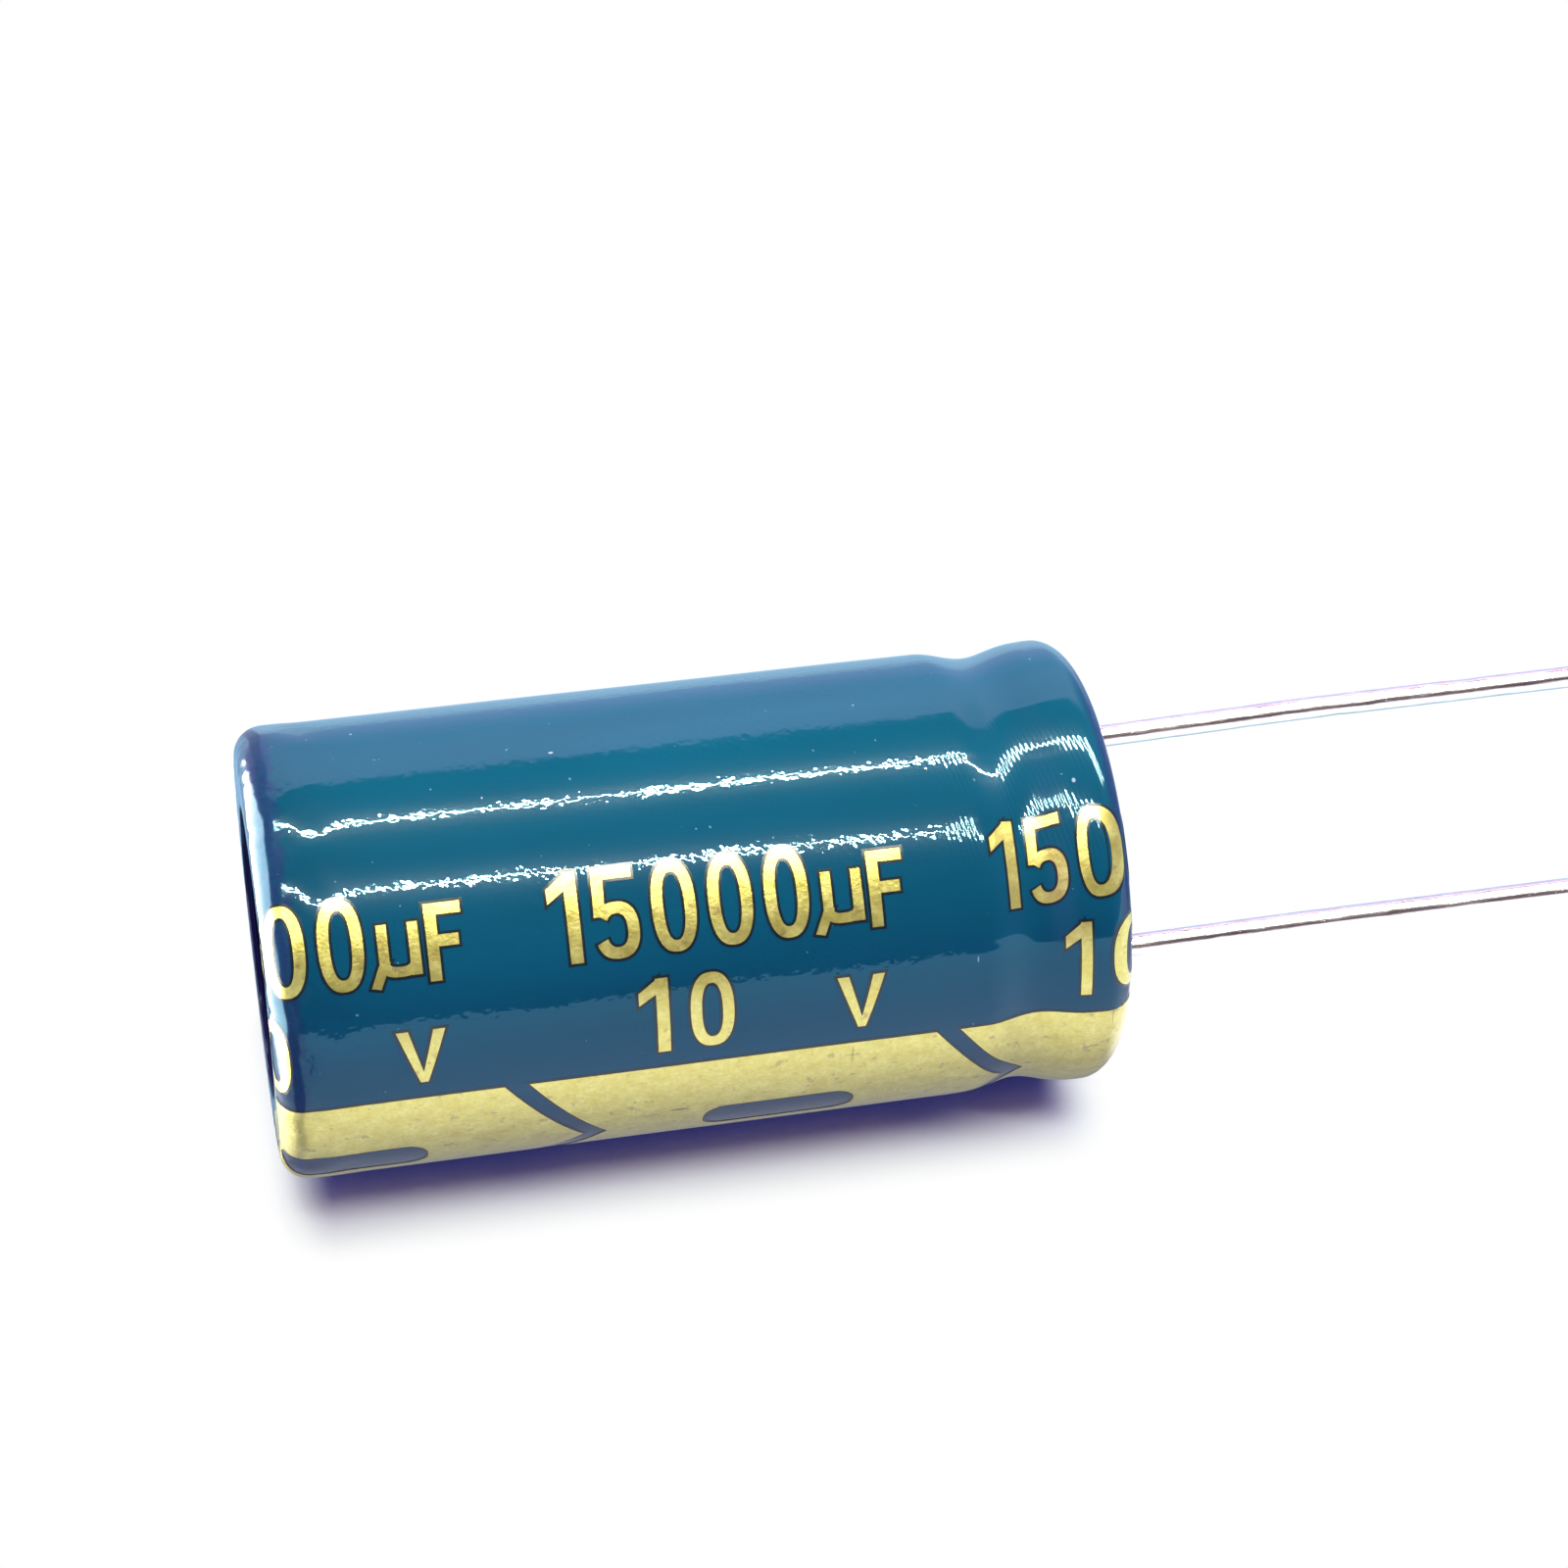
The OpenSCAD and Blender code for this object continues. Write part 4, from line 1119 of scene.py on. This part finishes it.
# %% [markdown]
# ## Moulded rubber
# The rubber is butyl, black and matt from the mould, with a greyer bloom in places. Two dark tones and a high
# roughness are enough, with a fine grain as a bump.

# %% Moulded rubber
rubber, tree, shader = new_finish("moulded rubber")
where = in_mm(tree)
bloom = add(tree, "MapRange", (add(tree, "TexNoise", (where, 0.7, 5, 0.6)), 0.35, 0.75))
bloomed = add(tree, "Mix", (bloom, colour("#1B1B1C"), colour("#2E2D2C")), data_type="RGBA")
rough = add(tree, "MapRange", (bloom, 0, 1, 0.55, 0.75))
grain = add(tree, "TexNoise", (where, 9.0, 3, 0.55))
give(tree, shader, {"Base Color": bloomed, "Roughness": rough,
                    "Normal": add(tree, "Bump", {"Height": grain, "Distance": 0.012 * MM, "Strength": 0.8})})
place(seal, rubber, "seal_rubber", "rubber_seal")

# %% [markdown]
# ## The leads
# Each lead is tinned steel wire, welded to its tab inside the seal. Above the seal it has been pushed
# sideways a little and runs on nearly straight. A curve with a round bevel could draw it, but could not carry
# nicks. So it is a circle carried along that path, with its radius as a function of height and angle: the
# weld at the bottom, small nicks from handling, and a tip pinched by the cutter.

# %% Two wires
WELD_Z = 28.13
BEND_Z, RISE = SEAL_TOP + 0.25, 2.2


def lead_mesh(name, x, push, tip, seed, columns=40):
    """A circle of radius r(z, angle) about the path x - push (0.7 of a smooth step over the bend + 0.3 of one
    over 11 mm) + a slow sway, closed by a point at each end. r is the wire's radius, more at the weld, less
    at the tip, minus 22 nicks, each a bell curve of height times one of angle."""
    z = np.concatenate([[WELD_Z], WELD_Z + np.array([0.0, 0.1, 0.3, 0.5, 0.6, 0.7]),
                        np.linspace(WELD_Z + 0.8, BEND_Z + RISE + 0.5, 46),
                        np.linspace(BEND_Z + RISE + 0.6, tip - 0.4, 170),
                        tip - np.array([0.3, 0.2, 0.12, 0.06, 0.02, 0.0, 0.0])])
    angle = np.linspace(-np.pi, np.pi, columns, endpoint=False)
    radius = LEAD_R + 0.2 * (1 - step(z, WELD_Z + 0.45, WELD_Z + 0.75))
    radius = radius * (1 - 0.25 * (1 - step(z, WELD_Z - 0.05, WELD_Z + 0.12)))
    radius = radius - 0.05 * step(z, tip - 0.25, tip)
    chance = np.random.default_rng(seed)
    at, facing_at = chance.uniform(BEND_Z + 1, tip - 1, 22), chance.uniform(-np.pi, np.pi, 22)
    long, deep = chance.uniform(0.12, 0.7, 22), chance.uniform(0.006, 0.022, 22)
    gap = np.angle(np.exp(1j * (angle[:, None] - facing_at)))
    up_wire, round_wire = np.exp(-((z[:, None] - at) / long) ** 2), np.exp(-(gap / 0.5) ** 2)
    nicks = np.einsum("zk,ak,k->za", up_wire, round_wire, deep)
    r = radius[:, None] - nicks
    sway = 0.03 * np.sin(z / 7 + seed) * step(z, BEND_Z + RISE, BEND_Z + RISE + 6)
    bent = 0.7 * step(z, BEND_Z - 0.1, BEND_Z + RISE + 0.1) + 0.3 * step(z, BEND_Z, BEND_Z + 11)
    middle = x - push * bent + sway
    pinch = 1 - 0.16 * step(z, tip - 0.5, tip)[:, None]
    ring = np.stack([middle[:, None] + r * np.sin(angle), r * np.cos(angle) * pinch, z[:, None] + 0 * angle],
                    axis=-1)
    points = np.concatenate([ring.reshape(-1, 3), [[middle[0], 0, z[0]], [middle[-1], 0, z[-1]]]])
    rows = len(z)
    quads = grid_faces(rows, columns, close_columns=True)[:, ::-1]
    first, last = np.arange(columns), np.arange(columns) + (rows - 1) * columns
    caps = np.concatenate([fan_faces(rows * columns, first)[:, ::-1], fan_faces(rows * columns + 1, last)])
    return build_mesh(name, points, [quads, caps])


LONG_LEAD, SHORT_LEAD = 26, 21
lead_plus = lead_mesh("wire_positive", -LEAD_X, 0.70, SEAL_TOP + LONG_LEAD, 3)
lead_minus = lead_mesh("wire_negative", LEAD_X, 0.35, SEAL_TOP + SHORT_LEAD, 8)
print("leads:", len(lead_plus.data.polygons), "faces each")

# %% [markdown]
# ## Tinned wire
# The tin is bright and slightly warm, drawn out along the wire, so its fine pattern is stretched along it. In
# the photograph the wires mirror a pale room above them and show a dark line between that and the table. A
# screen that only the wires mirror stands for that part of the room.

# %% Tinned wire
tinned, tree, shader = new_finish("tinned wire")
drawn_along = in_mm(tree, (1, 1, 0.06))
where = in_mm(tree)
streak = add(tree, "TexNoise", (drawn_along, 9.0, 3, 0.6))
dull = add(tree, "TexNoise", (where, 1.3, 3, 0.55))
tin = add(tree, "MapRange", (dull, 0.35, 0.7))
tin = add(tree, "Mix", (tin, colour("#F2EBE2"), colour("#E0D8D0")), data_type="RGBA")
rough = add(tree, "MapRange", (streak, 0.3, 0.7, 0.18, 0.30))
dents = add(tree, "Bump", {"Height": dull, "Distance": 0.02 * MM, "Strength": 0.5})
lines = add(tree, "Bump", {"Height": streak, "Distance": 0.010 * MM, "Strength": 0.7, "Normal": dents})
give(tree, shader, {"Base Color": tin, "Metallic": 1.0, "Roughness": rough, "Normal": lines})
place(lead_plus, tinned, "lead_wire", "lead_positive")
place(lead_minus, tinned, "lead_wire", "lead_negative")
mirror_screen("lead_screen", on_table(120, 550, -500), on_table(120, 550, 900), 480, 1.3,
              [lead_plus, lead_minus])

# %% [markdown]
# ## What is inside
# The tabs, the wound roll and its tape are hidden in the can. They could be drawn anew, but no view shows
# them, so the solid model's own shapes stay, and get finishes that are right if the can is ever shown cut
# open.

# %% Finishes for the hidden pieces
def dress(node, finish):
    """Puts a finish on a piece of the solid model."""
    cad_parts[node].data.materials.clear()
    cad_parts[node].data.materials.append(finish)


def plain_finish(name, dark, light, colour_noise, rough_noise, rough, relief_noise, relief_mm, strength,
                 metallic=0.0, stretch=(1, 1, 1)):
    """A matter of three noises: one mixes the two colours, one gives the roughness between two values, and
    one gives the relief. A noise is (features a mm, detail)."""
    material, tree, shader = new_finish(name)
    where = in_mm(tree, stretch)
    mixed = add(tree, "TexNoise", (where, *colour_noise, 0.55))
    mixed = add(tree, "Mix", (mixed, colour(dark), colour(light)), data_type="RGBA")
    uneven = add(tree, "MapRange", (add(tree, "TexNoise", (where, *rough_noise, 0.55)), 0.3, 0.7, *rough))
    grain = add(tree, "TexNoise", (where, *relief_noise, 0.55))
    grain = add(tree, "Bump", {"Height": grain, "Distance": relief_mm * MM, "Strength": strength})
    give(tree, shader, {"Base Color": mixed, "Metallic": metallic, "Roughness": uneven, "Normal": grain})
    return material


# etched aluminium is matt and grainy, soaked paper has fibres drawn out along the roll, and tape is smooth
tab_metal = plain_finish("etched aluminium tab", "#C4C6C8", "#DADBDB", (2.0, 3), (6.0, 3), (0.35, 0.5),
                         (12.0, 3), 0.01, 0.5, metallic=1.0)
paper = plain_finish("soaked paper roll", "#C9B88E", "#E0D5B4", (3.0, 4), (1.0, 3), (0.5, 0.8),
                     (8.0, 3), 0.02, 0.6, stretch=(1, 1, 0.2))
tape_film = plain_finish("winding tape", "#D8CFA8", "#E6DFC0", (0.8, 2), (2.0, 3), (0.2, 0.35),
                         (1.5, 3), 0.02, 0.5)
for node, finish in (("tab_positive", tab_metal), ("tab_negative", tab_metal),
                     ("wound_element", paper), ("element_tape", tape_film)):
    dress(node, finish)
    print(node, "gets", finish.name)
